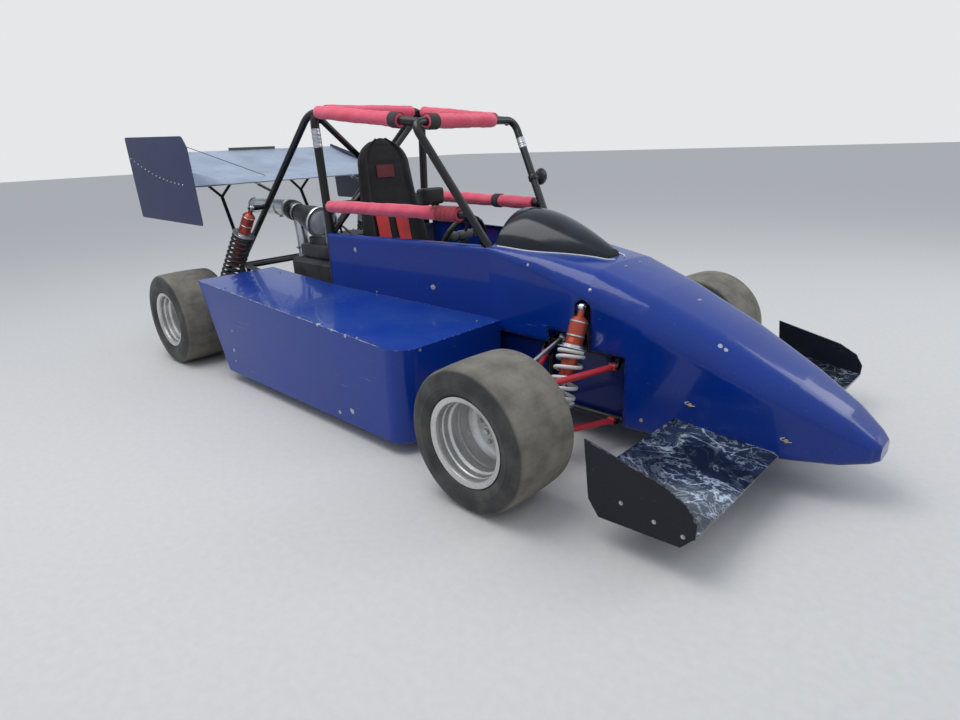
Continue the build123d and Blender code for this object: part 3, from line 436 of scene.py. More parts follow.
def gentle(points, count=8):
    """A smooth line through points: cubic pieces whose slope at a point is half the step across it."""
    points = np.asarray(points, float)
    slope = np.gradient(points, axis=0)
    t = np.linspace(0, 1, count, endpoint=False)[None, :, None]
    a, b, m, n = points[:-1, None], points[1:, None], slope[:-1, None], slope[1:, None]
    curve = (2 * t**3 - 3 * t**2 + 1) * a + (t**3 - 2 * t**2 + t) * m + (3 * t**2 - 2 * t**3) * b + (t**3 - t**2) * n
    return np.vstack((curve.reshape(-1, 3), points[-1:]))


def coil(start, way, length, mean, wire, turns):
    """A helix about a line, its first and last turn lying close, as a bar of the wire's radius."""
    turn = np.linspace(0, turns, turns * 28 + 1)
    open_turns = np.clip(turn - 1, 0, turns - 2)
    close = 2 * wire + 0.001
    pitch = (length - 2 * wire - 2 * close) / (turns - 2)
    rise = wire + close * (turn - open_turns) + pitch * open_turns
    local = np.stack((mean * np.cos(2 * math.pi * turn), mean * np.sin(2 * math.pi * turn), rise), -1)
    return swept(np.asarray(start) + local @ axes_along(way).T, wire, 12, up=way)


def blotched(name, one, two, blots, rough, bump=None, **sockets):
    """A finish of two colours in cloudy blots. Blots and rough tell a noise's scale and detail and, if it has
    one, its ramp; rough may be a number; bump tells a noise, its strength and its distance."""
    f = Finish(name)

    def cloud(scale, detail, *ramp):
        return f.noise(scale, detail).ramp(*ramp) if ramp else f.noise(scale, detail)

    if bump:
        sockets["Normal"] = f.bump(cloud(*bump[:2]), *bump[2:])
    return f.surface(Base_Color=f.mix(cloud(*blots), one, two),
                     Roughness=cloud(*rough) if isinstance(rough, tuple) else rough, **sockets)


anodised = blotched("orange_red_anodised", (0.46, 0.075, 0.04), (0.34, 0.08, 0.05), (30, 5, 0.45, 0.75),
                    (30, 5, 0.3, 0.7, 0.28, 0.5), (30, 5, 0.08, 0.001), Metallic=0.55)
black_coat = blotched("black_spring_coat", (0.03, 0.032, 0.036), (0.13, 0.125, 0.12), (25, 5, 0.5, 0.75),
                      (60, 3, 0.3, 0.7, 0.3, 0.6))
damper_black = blotched("damper_black", (0.02, 0.02, 0.021), (0.06, 0.058, 0.055), (50, 3), 0.4,
                        (200, 3, 0.1, 0.0005))
collar_alloy = metal("collar_alloy", (0.75, 0.76, 0.78), 0.22, 0.2, spots=50)
pale = Finish("pale_spring_coat")
chips = (pale.cells(90) < 0.16) * pale.noise(20).ramp(0.5, 0.6)
pale_coat = pale.surface(Base_Color=pale.mix(chips, (0.62, 0.62, 0.6), (0.12, 0.09, 0.07)),
                         Roughness=pale.noise(40).ramp(0.3, 0.7, 0.3, 0.55))
# columns: name, top (ahead, half, z), bottom, spring radius, share of the collar and of the lower seat, wire and
# pitch, axis of the eyes, spring coat
coil_rows = [
    ("front", (0.0, 0.235, 0.508), (0.0, 0.385, 0.152), 0.043, 0.37, 0.86, 0.0067, 0.036, (1, 0, 0), pale_coat),
    ("rear", (-1.955, 0.372, 0.775), (-2.211, 0.47, 0.311), 0.049, 0.29, 0.89, 0.0072, 0.027, (0, 1, 0), black_coat),
]
for end, top, bottom, mean, collar_share, seat_share, wire, pitch, pin, coat in coil_rows:
    bodies, springs, collars, rods = [], [], [], []
    for sign in (-1, 1):
        high = np.array((front_axle + top[0], sign * top[1], top[2]))
        low = np.array((front_axle + bottom[0], sign * bottom[1], bottom[2]))
        length = np.linalg.norm(low - high)
        way = (low - high) / length
        collar, seat = length * collar_share, length * seat_share
        threads = np.arange(0.105, collar - 0.02, 0.004)
        thread_line = np.column_stack((np.repeat(threads, 2) + np.tile((0, 0.002), len(threads)),
                                       np.tile((0.0308, 0.0298), len(threads))))
        bodies.append(turned([
            (0.012, 0.0), (0.012, 0.0115), (0.03, 0.012), (0.034, 0.02), (0.04, 0.0255), (0.046, 0.0305),
            (0.06, 0.031), (0.098, 0.031), *thread_line, (collar - 0.012, 0.0305), (length * 0.62, 0.026),
            (length * 0.625, 0.024), (length * 0.625, 0)], high, way, 40))
        for share in (0.048, 0.096):
            collars.append(turned([(share, 0.0312), (share + 0.001, 0.0322), (share + 0.004, 0.0322),
                                   (share + 0.005, 0.0312)], high, way, 40, True))
        collars.append(lathed([
            (collar - 0.013, 0.0302), (collar - 0.013, 0.038), (collar - 0.004, 0.038), (collar - 0.004, mean + 0.0075),
            (collar, mean + 0.0075), (collar, 0.0302)], 0.001, high, way, 48, True))
        collars.append(lathed([
            (seat - 0.0005, 0.0085), (seat - 0.0005, mean + 0.0072), (seat + 0.006, mean + 0.0072),
            (seat + 0.007, 0.024), (seat + 0.017, 0.02), (seat + 0.018, 0.0085)], 0.001, high, way, 48, True))
        collars += [lathed([(-0.01, 0.0063), (-0.01, 0.0125), (-0.008, 0.0138), (0.008, 0.0138), (0.01, 0.0125),
                            (0.01, 0.0063)], 0.001, point, pin, 28, True) for point in (high, low)]
        rods.append(turned([(0.0, 0.0), (length * 0.62, 0.0), (length * 0.62, 0.0065), (length - 0.012, 0.0065),
                            (length - 0.012, 0.0)], high, way, 20))
        turns = 2 + round((seat - collar - 4 * wire - 0.018) / pitch)
        springs.append(coil(high + way * (collar + 0.0003), way, seat - collar - 0.0011, mean - (wire - 0.0067),
                            wire, turns))
    for label, shapes, material, slot in (
        ("damper_bodies", bodies, anodised, "damper"), ("springs", springs, coat, "raw_steel"),
        ("collars_and_eyes", collars, collar_alloy, "sheet_alloy"), ("damper_rods", rods, zinc, "raw_steel"),
    ):
        make_piece(f"{end}_{label}", shapes, material, end + "_coilovers")


# Body paint: the tub, the nose and both pods are sheet panels under deep blue gloss. The paint is dusty on
# top, finely scratched, and chipped to pale primer along the folds and round the fasteners.
def edge_of(f, radius):
    """How far the surface's own normal leans from the one rounded over a radius: 0 on flats, up to 1 on edges."""
    soft = grow(f.tree, "Bevel", {"samples": 4}, {"Radius": radius})
    own = grow(f.tree, "NewGeometry", {}, {}, "Normal")
    return 1.0 - grow(f.tree, "VectorMath", {"operation": "DOT_PRODUCT"}, {0: soft, 1: own}, "Value")


def paint(name, colour, dust=0.3, chip=(0.42, 0.43, 0.44), rough=0.16, wear=0.5, spots=(), flat=0.0, edge=0.0025):
    """Gloss paint: dust on what faces up, drawn out scratches, chips on edges and at spots (place, radius). Its
    edges shine as if rounded over the radius edge."""
    f = Finish(name)
    cloud, fine = f.noise(5, 6), f.noise(70, 5)
    drawn = f.noise(1, 2, f.stretch((9, 260, 260), turn=(0.2, 0.5, 0.1)))
    crossed = f.noise(1, 2, f.stretch((240, 12, 200), turn=(0.4, 0.1, 0.7)))
    scratch = drawn.ramp(0.7, 0.74) * cloud.ramp(0.45, 0.6) + crossed.ramp(0.72, 0.76) * cloud.ramp(0.6, 0.4)
    up = f.facing("Z").ramp(0.15, 0.95)
    film = (up * 0.75 + 0.25) * cloud.ramp(0.35, 0.75, 0.25, 1.0) * dust
    bare = edge_of(f, 0.0035).ramp(0.05, 0.22) * fine.ramp(0.52, 0.6) * wear
    for place, radius in spots:
        away = grow(f.tree, "VectorMath", {"operation": "DISTANCE"}, {0: f.place, 1: place}, "Value")
        bare = bare.maths("MAXIMUM", bare, (away + (fine - 0.5) * radius * 1.6) < radius)
    tone = f.mix(cloud.ramp(0.3, 0.7), colour, tuple(c * 0.8 for c in colour))
    dusted = f.mix(film, tone, (0.07, 0.17, 0.46))
    marked = f.mix(scratch * 0.35, dusted, (0.3, 0.34, 0.42))
    return f.surface(
        Base_Color=f.mix(bare, marked, chip), Roughness=(film * 0.35 + bare * 0.4 + fine * 0.05 + rough),
        Coat_Weight=(1.0 - (film + bare).ramp(0, 1)) * (0.42 - flat), Coat_Roughness=0.04, Specular_IOR_Level=0.2,
        Normal=f.bump(cloud * 0.6 - bare * 0.15 + fine * 0.03, 0.25, 0.0022,
                      under=grow(f.tree, "Bevel", {"samples": 6}, {"Radius": edge})))


def dress(material, *names):
    """Gives frame nodes their finish."""
    for name in names:
        nodes[name].data.materials.clear()
        nodes[name].data.materials.append(material)


def seen_at(names, pixels):
    """Where the camera's rays through pixels of the 960 by 720 picture meet frame nodes, and the normals there."""
    bpy.context.view_layer.update()
    origin = Vector(eye)
    points, normals = [], []
    for px, py in pixels:
        ray = look + right * (px - picture_wide / 2) / focal - above * (py - picture_high / 2) / focal
        hits = [nodes[name].ray_cast(origin, Vector(ray).normalized()) for name in names]
        near = min((hit for hit in hits if hit[0]), key=lambda hit: (hit[1] - origin).length)
        points.append(np.array(near[1]))
        normals.append(np.array(near[2]))
    return np.array(points), np.array(normals)


def mirrored(points):
    """The same points on the car's other side."""
    return np.asarray(points) * (1, -1, 1)


def both_sides(make, points, normals, radius, height):
    """Screws or rivets at points and at the same points on the car's other side."""
    return make(points, normals, radius, height) + make(mirrored(points), mirrored(normals), radius, height)


def chips_at(names, pixels, radii):
    """Chips in the paint, as places and radii, under pixels of the picture."""
    return [(tuple(place), radius) for place, radius in zip(seen_at(names, pixels)[0], radii)]


tub_chips = chips_at(["body_shell"], [(433, 287), (355, 250), (528, 265), (720, 346), (726, 350), (641, 420)],
                     (0.011, 0.01, 0.004, 0.007, 0.006, 0.006))
dress(paint("tub_blue", (0.0, 0.027, 0.25), 0.1, edge=0.022, spots=tub_chips), "body_shell")
dress(paint("belly_blue", (0.001, 0.016, 0.15), 0.1, rough=0.3, wear=0.6), "belly_tub")
pod_chips = chips_at(
    ["side_pod_right"],
    [(234, 350), (236, 361), (352, 411), (340, 412), (318, 324), (331, 330), (345, 336), (232, 331), (420, 420)],
    (0.008, 0.006, 0.012, 0.007, 0.009, 0.006, 0.007, 0.005, 0.005))
dress(paint("pod_blue", (0.0, 0.03, 0.28), 0.26, wear=0.9, spots=pod_chips), "side_pod_right", "side_pod_left")
screw_pixels = [
    (280, 273), (377, 292), (477, 321), (357, 338), (225, 288), (300, 318), (420, 350), (355, 250), (433, 287),
    (528, 265), (641, 420), (590, 290), (640, 262), (700, 300)]
make_piece("panel_screws", both_sides(bolts, *seen_at(["side_pod_right", "body_shell"], screw_pixels), 0.0038, 0.0032),
           zinc)

# Sealant beads: a pale line of filler runs along each pod's outer top fold, laid by hand, uneven and thin where
# it has chipped away.
primer = blotched("chipped_filler", (0.5, 0.53, 0.58), (0.1, 0.14, 0.25), (60, 5, 0.4, 0.65), 0.7,
                  (220, 3, 0.4, 0.0006))
fold_half = 0.7318
line = np.linspace(-0.47, -1.86, 180)
fold_z = 0.398 + (-0.386 - line) / 1.514 * 0.072 - 0.0006
waver = 0.0003 * np.sin(line * 90) + 0.0002 * np.sin(line * 217)
bead_radius = 0.0008 + 0.0008 * np.sin(line * 23) * np.sin(line * 57 + 1)
bead_radius = np.clip(bead_radius + np.random.default_rng(11).normal(0, 0.0002, len(line)), 0.0003, 0.0018)
beads = [swept(np.column_stack((front_axle + line, sign * fold_half + waver, fold_z)), bead_radius, 6)
         for sign in (-1, 1)]
make_piece("pod_filler_beads", beads, primer, sharp=60)


# Frame and arms: round steel tube, welded, under satin black paint that has gone grey with dust on top and
# rusts in spots. The arms are painted red in the same way; knuckles, shafts and carriers are bare metal.
def tube_paint(name, colour, rust=0.35, rough=0.38):
    """Satin paint on tube: dust on top, and rust that breaks through in blots."""
    f = Finish(name)
    cloud, fine = f.noise(9, 6), f.noise(130, 4)
    dusty = f.facing("Z").ramp(0.2, 1.0) * cloud.ramp(0.35, 0.7, 0.0, 0.25)
    spot = cloud.ramp(0.66, 0.7) * fine.ramp(0.45, 0.55) * rust
    grey = f.mix(dusty, colour, (0.16, 0.155, 0.145))
    return f.surface(Base_Color=f.mix(spot, grey, (0.13, 0.055, 0.025)), Roughness=(spot * 0.4 + dusty * 0.4 + rough),
                     Normal=f.bump(fine * 0.3 + spot * 0.8 + cloud * 0.3, 0.2, 0.0012))


frame_black = tube_paint("frame_black", (0.005, 0.005, 0.006), rough=0.3)
dress(frame_black, "chassis_frame")
dress(tube_paint("arm_red", (0.5, 0.018, 0.035), 0.5, 0.3), "front_upper_arms", "front_lower_arms", "radius_arms")
dress(metal("knuckle_steel", (0.36, 0.35, 0.34), 0.36, 0.6, (0.06, 0.05, 0.04), 20),
      "front_knuckle_right", "front_knuckle_left")
dress(metal("rod_steel", (0.62, 0.61, 0.6), 0.24, 0.35, spots=26, brush=(900, 14, 900)),
      "rack_tie_rods", "steering_shaft")
dress(metal("axle_steel", (0.4, 0.38, 0.36), 0.32, 0.6, (0.1, 0.06, 0.035), 14), "rear_axle_shaft", "axle_sprocket")
dress(metal("disc_steel", (0.5, 0.49, 0.48), 0.25, 0.5, (0.13, 0.07, 0.04), 30), "axle_brake_disc")
dress(metal("carrier_alloy", (0.55, 0.56, 0.58), 0.33, 0.6, spots=18), "axle_carriers", "rack_housing")
dress(metal("firewall_alloy", (0.42, 0.43, 0.45), 0.36, 0.5, spots=7, brush=(40, 900, 12)), "firewall")


# Roll cage: bent steel tube, the main hoop behind the seat and the front hoop at the dash, joined by roof bars
# that run on down as the rear braces, by side bars, a harness bar and crossed braces, all welded and black. The
# end of the frame behind the rear axle is made with it.
def leg_point(top, low, z):
    """The point of a straight leg at a height."""
    top, low = np.asarray(top), np.asarray(low)
    return top + (low - top) * (top[2] - z) / (top[2] - low[2])


hoop_x, roof_z, foot_z = front_axle - 1.371, 1.205, 0.3595
bar_radius, hoop_radius, brace_radius, tail_radius, stub_radius = 0.016, 0.019, 0.014, 0.0127, 0.012
front_top = np.array((front_axle - 0.74, 0.295, 1.133))
front_low = np.array((front_axle - 0.44, 0.19, 0.64))
hoop_waist, hoop_top = np.array((hoop_x, 0.297, 0.72)), np.array((hoop_x, 0.315, roof_z))
roof_rear, roof_front = np.array((front_axle - 1.405, 0.312, 1.207)), np.array((front_axle - 0.74, 0.267, 1.131))
side_front, side_rear = leg_point(front_top, front_low, 0.789), leg_point(hoop_top, hoop_waist, 0.8)
brace_foot = np.array((front_axle - 2.3855, 0.265, 0.4345))
coil_top = np.array((front_axle - 1.955, 0.372, 0.775))


def bent(points, cut, radius, up, sides=20):
    """A tube along straight runs whose corners are cut back and bridged by short curves."""
    return swept(rounded(np.asarray(points, float), cut, 9), radius, sides, up)


def weld(point, way, radius):
    """A bead round a tube's foot: a ring of small radius, rippled where the torch paused."""
    spin, ring = circle(40)[:, None], circle(8)[None, :]
    thick = 0.0034 + 0.0007 * np.sin(spin * 17)
    return about(radius + thick * np.cos(ring), thick * np.sin(ring), spin, point, way)


hoop_line = [(hoop_x, -0.3, foot_z), mirrored(hoop_waist), mirrored(hoop_top), hoop_top, hoop_waist,
             (hoop_x, 0.3, foot_z)]
front_line = [mirrored(front_low), mirrored(front_top), front_top, front_low]
front_tilt = np.cross(front_top - front_low, (0, 1, 0))
hoops = [bent(hoop_line, 0.06, hoop_radius, (1, 0, 0), 24), bent(front_line, 0.055, bar_radius, front_tilt, 22)]
bars, welds = [], []
for sign in (1, -1):
    side, outward = np.array((1, sign, 1)), np.array((0, sign, 0))
    rear_side, front_side, foot = side_rear * side, side_front * side, brace_foot * side
    roof_fore, roof_aft, leg_low = roof_front * side, roof_rear * side, front_low * side
    bars.append(bent([roof_fore, roof_aft, foot], 0.075, bar_radius, (0, 1, 0)))
    bars.append(swept([front_side, rear_side], bar_radius, 20))
    bars.append(swept([leg_low, (front_low[0], sign * 0.192, foot_z)], bar_radius, 20, (1, 0, 0)))
    cross_high, cross_low = np.array((hoop_x, sign * 0.296, 1.187)), np.array((hoop_x, -sign * 0.297, 0.665))
    bars.append(swept([cross_high, cross_low], brace_radius, 18, (1, 0, 0)))
    share = (roof_rear[0] - coil_top[0]) / (roof_rear[0] - brace_foot[0])
    root = (roof_rear + (brace_foot - roof_rear) * share) * side
    top_in = coil_top * side - outward * 0.012
    bars.append(swept([root, top_in], stub_radius, 16))
    bars += [lathed([(0, 0), (0, 0.0135), (0.028, 0.0135), (0.028, 0)], 0.001, top_in - outward * 0.028, outward, 20),
             turned([(0, 0), (0, 0.006), (0.05, 0.006), (0.05, 0)], top_in - outward * 0.02, outward, 16)]
    welds += [weld(foot + (0.006, 0, 0.005), foot - roof_aft, bar_radius),
              weld(rear_side + (0.018, 0, 0), rear_side - front_side, bar_radius),
              weld(front_side - (0.017, 0, 0), rear_side - front_side, bar_radius),
              weld(cross_high - (0, sign * 0.02, 0.018), cross_high - cross_low, brace_radius),
              weld(cross_low + (0, sign * 0.02, 0.018), cross_high - cross_low, brace_radius),
              weld(root + outward * 0.016, top_in - root, stub_radius),
              weld((hoop_x, sign * 0.3, foot_z + 0.002), (0, 0, 1), hoop_radius),
              weld((hoop_x, sign * 0.282, 0.8), (0, 1, 0), bar_radius),
              weld(roof_fore - (0.017, 0, 0), roof_aft - roof_fore, bar_radius)]
bars.append(swept([mirrored(side_rear), side_rear], bar_radius, 20))
tail_x, tail_half, tail_z = front_axle - 2.395, 0.262, 0.42
for sign in (1, -1):
    corner = (tail_x, sign * tail_half, tail_z)
    bars.append(swept([(front_axle - 2.3, sign * tail_half, tail_z), corner], tail_radius, 18))
    bars.append(swept([corner, (front_axle - 2.318, sign * tail_half, 0.13)], tail_radius, 18, (0, 1, 0)))
    welds.append(weld((tail_x + 0.002, sign * tail_half, tail_z - 0.015), (0.2, 0, -1), tail_radius))
bars.append(swept([(tail_x, -0.268, tail_z), (tail_x, 0.268, tail_z)], tail_radius, 18))
for name, shapes in (("cage_hoops", hoops), ("cage_bars", bars), ("cage_welds", welds)):
    make_piece(name, shapes, frame_black, "roll_cage", 50)

# Wing stays: on each side a tube from the rear brace that forks out to the wing's underside, and a thin strut
# further forward, black at its foot and bare steel where it was cut and threaded.
stays, strut_ends = [], []
for sign in (1, -1):
    side = np.array((1, sign, 1))
    fork = np.array((front_axle - 2.508, 0.261, 0.808)) * side
    stays.append(swept([(roof_rear + (brace_foot - roof_rear) * 0.955) * side, fork], 0.01, 16))
    stays += [swept([fork, (front_axle - 2.52, sign * y, 0.975)], 0.008, 14) for y in (0.43, 0.1)]
    strut_root = (roof_rear + (brace_foot - roof_rear) * 0.46) * side
    strut_tip = np.array((front_axle - 2.045, sign * 0.3, 0.905))
    stays.append(swept([strut_root, strut_root * 0.35 + strut_tip * 0.65], 0.0075, 14))
    strut_ends.append(swept([strut_root * 0.38 + strut_tip * 0.62, strut_tip], 0.005, 12))
    strut_ends.append(turned([(0, 0), (0, 0.009), (0.012, 0.009), (0.012, 0)], strut_root * 0.36 + strut_tip * 0.64,
                             strut_tip - strut_root, 6))
make_piece("wing_stay_tubes", stays, frame_black, "wing_stays")
make_piece("wing_stay_threads", strut_ends, zinc, "wing_stays")


# Cage pads: foam tubes in red cloth sleeves, closed along one side by a flap, fitted round the bars of the cage.
# They are a little lumpy, with wrinkles where the sleeve is pulled tight, and worn pale in places.
def sleeve(start, end, radius, bore, seed, flap_angle):
    """A foam tube: radius plus long waves, short wrinkles and a raised flap, its ends rounded down to the bar."""
    length = np.linalg.norm(end - start)
    along = np.linspace(0, 1, int(length / 0.006) + 2)[:, None]
    spin = circle(56)[None, :]
    phase = np.random.default_rng(seed).uniform(0, 6.3, 8)
    swell = (0.0008 * np.sin(along * length * 22 + phase[0] + np.sin(spin + phase[1]))
             + 0.0006 * np.sin(along * length * 61 + 2 * spin + phase[2])
             + 0.0005 * np.sin(along * length * 140 + 3 * np.sin(spin * 2 + phase[3]) + phase[4])
             * (0.5 + 0.5 * np.sin(along * length * 9 + phase[5])))
    away = (spin - flap_angle + math.pi) % (2 * math.pi) - math.pi
    flap = 0.0013 * (np.clip((away + 0.62) / 0.05, 0, 1) - np.clip((away - 0.02) / 0.04, 0, 1))
    groove = -0.0016 * np.exp(-((away - 0.05) / 0.05) ** 2)
    pinch = 1 - 0.05 * np.exp(-(np.minimum(along, 1 - along) * length / 0.006) ** 2)
    outer = (radius - 0.002 + swell + flap + groove) * pinch
    corner = np.linspace(0.15, 1, 4)[:3, None] ** 0.5
    inner, first, last = np.full((1, 56), bore), (outer[0] - bore) * corner, (outer[-1] - bore) * corner[::-1]
    reach = np.vstack((inner, bore + first, outer, bore + last, inner))
    rise = np.vstack((np.zeros((4, 1)), along * length, np.full((4, 1), length)))
    return about(reach, rise, spin, start, end - start)


def cloth(name, colour, worn, weave=900.0, sheen=0.4):
    """Cloth: a fine weave from two crossed sines, cloudy fading and folds, with a soft sheen."""
    f = Finish(name)
    x, y, z = f.part("X"), f.part("Y"), f.part("Z")
    threads = ((x + z) * weave * 3.0).sine() * ((y + z - x) * weave * 3.0).sine()
    fade, grime = f.noise(11, 5), f.noise(3.5, 6)
    tone = f.mix(fade.ramp(0.35, 0.75, 0, 0.75), colour, worn)
    return f.surface(
        Base_Color=f.mix(grime.ramp(0.55, 0.8, 0, 0.35), tone, tuple(c * 0.45 for c in colour)),
        Roughness=0.82, Sheen_Weight=sheen, Sheen_Roughness=0.5,
        Normal=f.bump(threads * 0.35 + fade * 0.9 + f.noise(55, 4) * 0.7, 0.4, 0.0016))


def pad_row(name, start, end, bare_start, bare_end, bore, flap_angle):
    """A pad that leaves a bare length at each end of its bar: its name, both ends, bore and the flap's angle."""
    way = (end - start) / np.linalg.norm(end - start)
    return name, start + way * bare_start, end - way * bare_end, bore, flap_angle


red_sleeve = cloth("red_sleeve_cloth", (0.72, 0.055, 0.115), (0.8, 0.12, 0.19), 700)
pad_radius = 0.0288
pad_rows = [
    pad_row("side_pad_right", mirrored(side_front), mirrored(side_rear), 0.048, 0.022, bar_radius, 3.6),
    pad_row("side_pad_left", side_front, side_rear, 0.048, 0.022, bar_radius, 3.6),
    pad_row("roof_pad_right", mirrored(roof_rear), mirrored(roof_front), 0.061, 0.096, bar_radius, 5.2),
    pad_row("roof_pad_left", roof_rear, roof_front, 0.061, 0.096, bar_radius, 5.2),
    pad_row("hoop_pad", mirrored(hoop_top), hoop_top, 0.064, 0.064, hoop_radius, 5.2),
    pad_row("front_hoop_pad", mirrored(front_top), front_top, 0.072, 0.14, bar_radius, 5.2),
]
for seed, (name, start, end, bore, flap_angle) in enumerate(pad_rows):
    pad = make_piece(name, [sleeve(start, end, pad_radius, bore + 0.0002, seed + 4, flap_angle)], red_sleeve,
                     "cage_pads", 60)


# Seat: a high backed bucket covered in black cloth over thin foam, with side bolsters, sewn channels across
# the back and piping down both sides. It leans on the harness bar, and a dark red patch is sewn on its head.
def capped(rows):
    """A grid of closed rings, shut at the middle of its first ring and of its last."""
    ends = np.repeat(rows[[0, -1]].mean(1, keepdims=True), rows.shape[1], 1)
    return woven(np.concatenate((ends[:1], rows, ends[1:])), close_v=True)


def seat_half(z):
    """Half the seat's width: round at the head, about 0.15 at the shoulders, 0.195 from the waist down."""
    head = 0.15 * np.sqrt(np.clip(1 - np.clip((z - 0.955) / 0.123, 0, 1) ** 2.2, 0, 1))
    back = np.interp(z, (0.6, 0.66, 0.8, 0.955), (0.194, 0.19, 0.168, 0.15))
    return np.where(z > 0.955, head, back)


def seat_shell(line, columns=96):
    """A slab along a line of the seat: u = cos^0.55 across, a bolster grows forwards near its sides, channels dip."""
    way = np.gradient(line, axis=0)
    way /= np.linalg.norm(way, axis=1)[:, None]
    out = np.cross(way, (0, 1, 0))
    out *= np.sign(out[:, :1] * 0.7 + out[:, 2:] * 0.7 + 1e-9)
    spin = circle(columns)[None, :]
    u = np.sign(np.cos(spin)) * np.abs(np.cos(spin)) ** 0.55
    depth = np.sign(np.sin(spin)) * np.abs(np.sin(spin)) ** 0.7
    half = seat_half(line[:, 2])[:, None]
    reach = np.arange(len(line))[:, None] / (len(line) - 1)
    ease = np.clip(np.minimum(reach, 1 - reach) / 0.05, 0, 1) ** 0.5
    bolster = np.exp(-((np.abs(u) - 0.84) / 0.13) ** 2) * (0.012 + 0.034 * np.clip((reach - 0.2) / 0.25, 0, 1))
    channel = 0.0035 * np.exp(-((reach * 26 + 0.5) % 1 - 0.5) ** 2 / 0.004) * (np.abs(u) < 0.66)
    seam = 0.004 * np.exp(-((np.abs(u) - 0.68) / 0.012) ** 2)
    puff = 0.006 * np.cos(np.clip(u / 0.68, -1, 1) * math.pi / 2)
    puff = puff + 0.0012 * np.sin(u * 19 + reach * 31) * np.sin(reach * 47)
    front = np.clip(depth, 0, 1) * (0.01 + (bolster + puff - channel - seam)) * ease
    rear = np.clip(depth, -1, 0) * 0.02 * ease
    return capped(line[:, None] + (0, 1, 0) * (u * half)[..., None] + out[:, None] * (front + rear)[..., None]), out


seat_line = gentle([
    (-1.33, 0, 1.078), (-1.322, 0, 1.06), (-1.306, 0, 0.96), (-1.288, 0, 0.8), (-1.247, 0, 0.6),
    (-1.19, 0, 0.38), (-1.135, 0, 0.255), (-1.05, 0, 0.222), (-0.9, 0, 0.232), (-0.735, 0, 0.262),
    (-0.722, 0, 0.262)], 12) + (front_axle, 0, 0)
seat_shape, seat_out = seat_shell(seat_line)
black_cloth = cloth("seat_black_cloth", (0.0035, 0.0035, 0.004), (0.014, 0.014, 0.014), 600, 0.08)
seat = make_piece("seat_cover", [seat_shape], black_cloth, "seat", 60)
seat_edges = [seat_line + np.outer(seat_half(seat_line[:, 2]) * 0.985 * sign, (0, 1, 0)) + seat_out * 0.0045
              for sign in (1, -1)]
make_piece("seat_piping_cord", [swept(edge[10:-6], 0.0026, 8) for edge in seat_edges],
           cloth("seat_piping", (0.02, 0.02, 0.022), (0.1, 0.1, 0.1), 1200, 0.05))
patch_z = np.linspace(0.966, 0.91, 7)[:, None]
patch_x = np.interp(patch_z, seat_line[::-1, 2][50:], seat_line[::-1, 0][50:]) + 0.0188
patch_rows = np.stack(np.broadcast_arrays(patch_x, np.linspace(-0.062, 0.04, 9)[None], patch_z), -1)
patch_ring = np.concatenate((patch_rows, (patch_rows - (0.01, 0, 0))[::-1]))
make_piece("seat_patch", [woven(patch_ring, close_u=True)],
           cloth("seat_patch_cloth", (0.1, 0.01, 0.014), (0.16, 0.02, 0.025), 900, 0.2), sharp=60)

# Harness: two red shoulder belts, webbing 75 mm wide, down the seat's back from over the harness bar, each with
# a steel adjuster. Their edges are sewn and they lie in slow waves.
webbing = Finish("red_webbing")
rib = (webbing.part("Z") * 3400.0).sine() * 0.5 + (webbing.part("Y") * 2600.0).sine() * 0.5
webbing.surface(
    Base_Color=webbing.mix(webbing.noise(16, 5).ramp(0.4, 0.75), (0.66, 0.028, 0.022), (0.42, 0.03, 0.03)),
    Roughness=0.72, Sheen_Weight=0.3, Normal=webbing.bump(rib, 0.3, 0.0006))


def strap(line, half, normal, thick=0.0016):
    """A flat band along a line: u across its width with thicker sewn edges, twisted a little, closed all round."""
    spin = circle(28)[None, :]
    u = np.sign(np.cos(spin)) * np.abs(np.cos(spin)) ** 0.35
    lift = np.sign(np.sin(spin)) * np.abs(np.sin(spin)) ** 0.5 * thick * (1 + 0.5 * (np.abs(u) > 0.8))
    reach = np.arange(len(line))[:, None] / (len(line) - 1)
    wave = 0.0022 * np.sin(reach * 15 + line[0, 1] * 40) * u + 0.0012 * np.sin(reach * 31)
    return capped(line[:, None] + (0, 1, 0) * (u * half)[..., None] + normal[:, None] * (lift + wave)[..., None])


belt_shapes, adjusters = [], []
for middle_y in (-0.076, 0.03):
    span = slice(39, 86)
    line = seat_line[span] + seat_out[span] * 0.0225
    line[:, 1] = middle_y + 0.006 * np.sin(np.linspace(0, 3, len(line)) + middle_y * 30)
    belt_shapes.append(strap(line, 0.0365, seat_out[span]))
    place, face = line[21] + seat_out[60] * 0.003, seat_out[60]
    slope = np.cross(face, (0, 1, 0))
    ring = [place + (0, a, 0) + slope * b
            for a, b in ((-0.042, -0.022), (0.042, -0.022), (0.042, 0.022), (-0.042, 0.022), (-0.042, -0.022))]
    adjusters.append(swept(rounded(ring, 0.006, 5), 0.0028, 10, face))
    adjusters.append(swept([place + (0, -0.04, 0), place + (0, 0.04, 0)], 0.0026, 10, face))
make_piece("shoulder_belts", belt_shapes, webbing.material, "harness_belts", 60)
make_piece("belt_adjusters", adjusters, metal("buckle_steel", (0.6, 0.6, 0.61), 0.22, 0.2, spots=60))


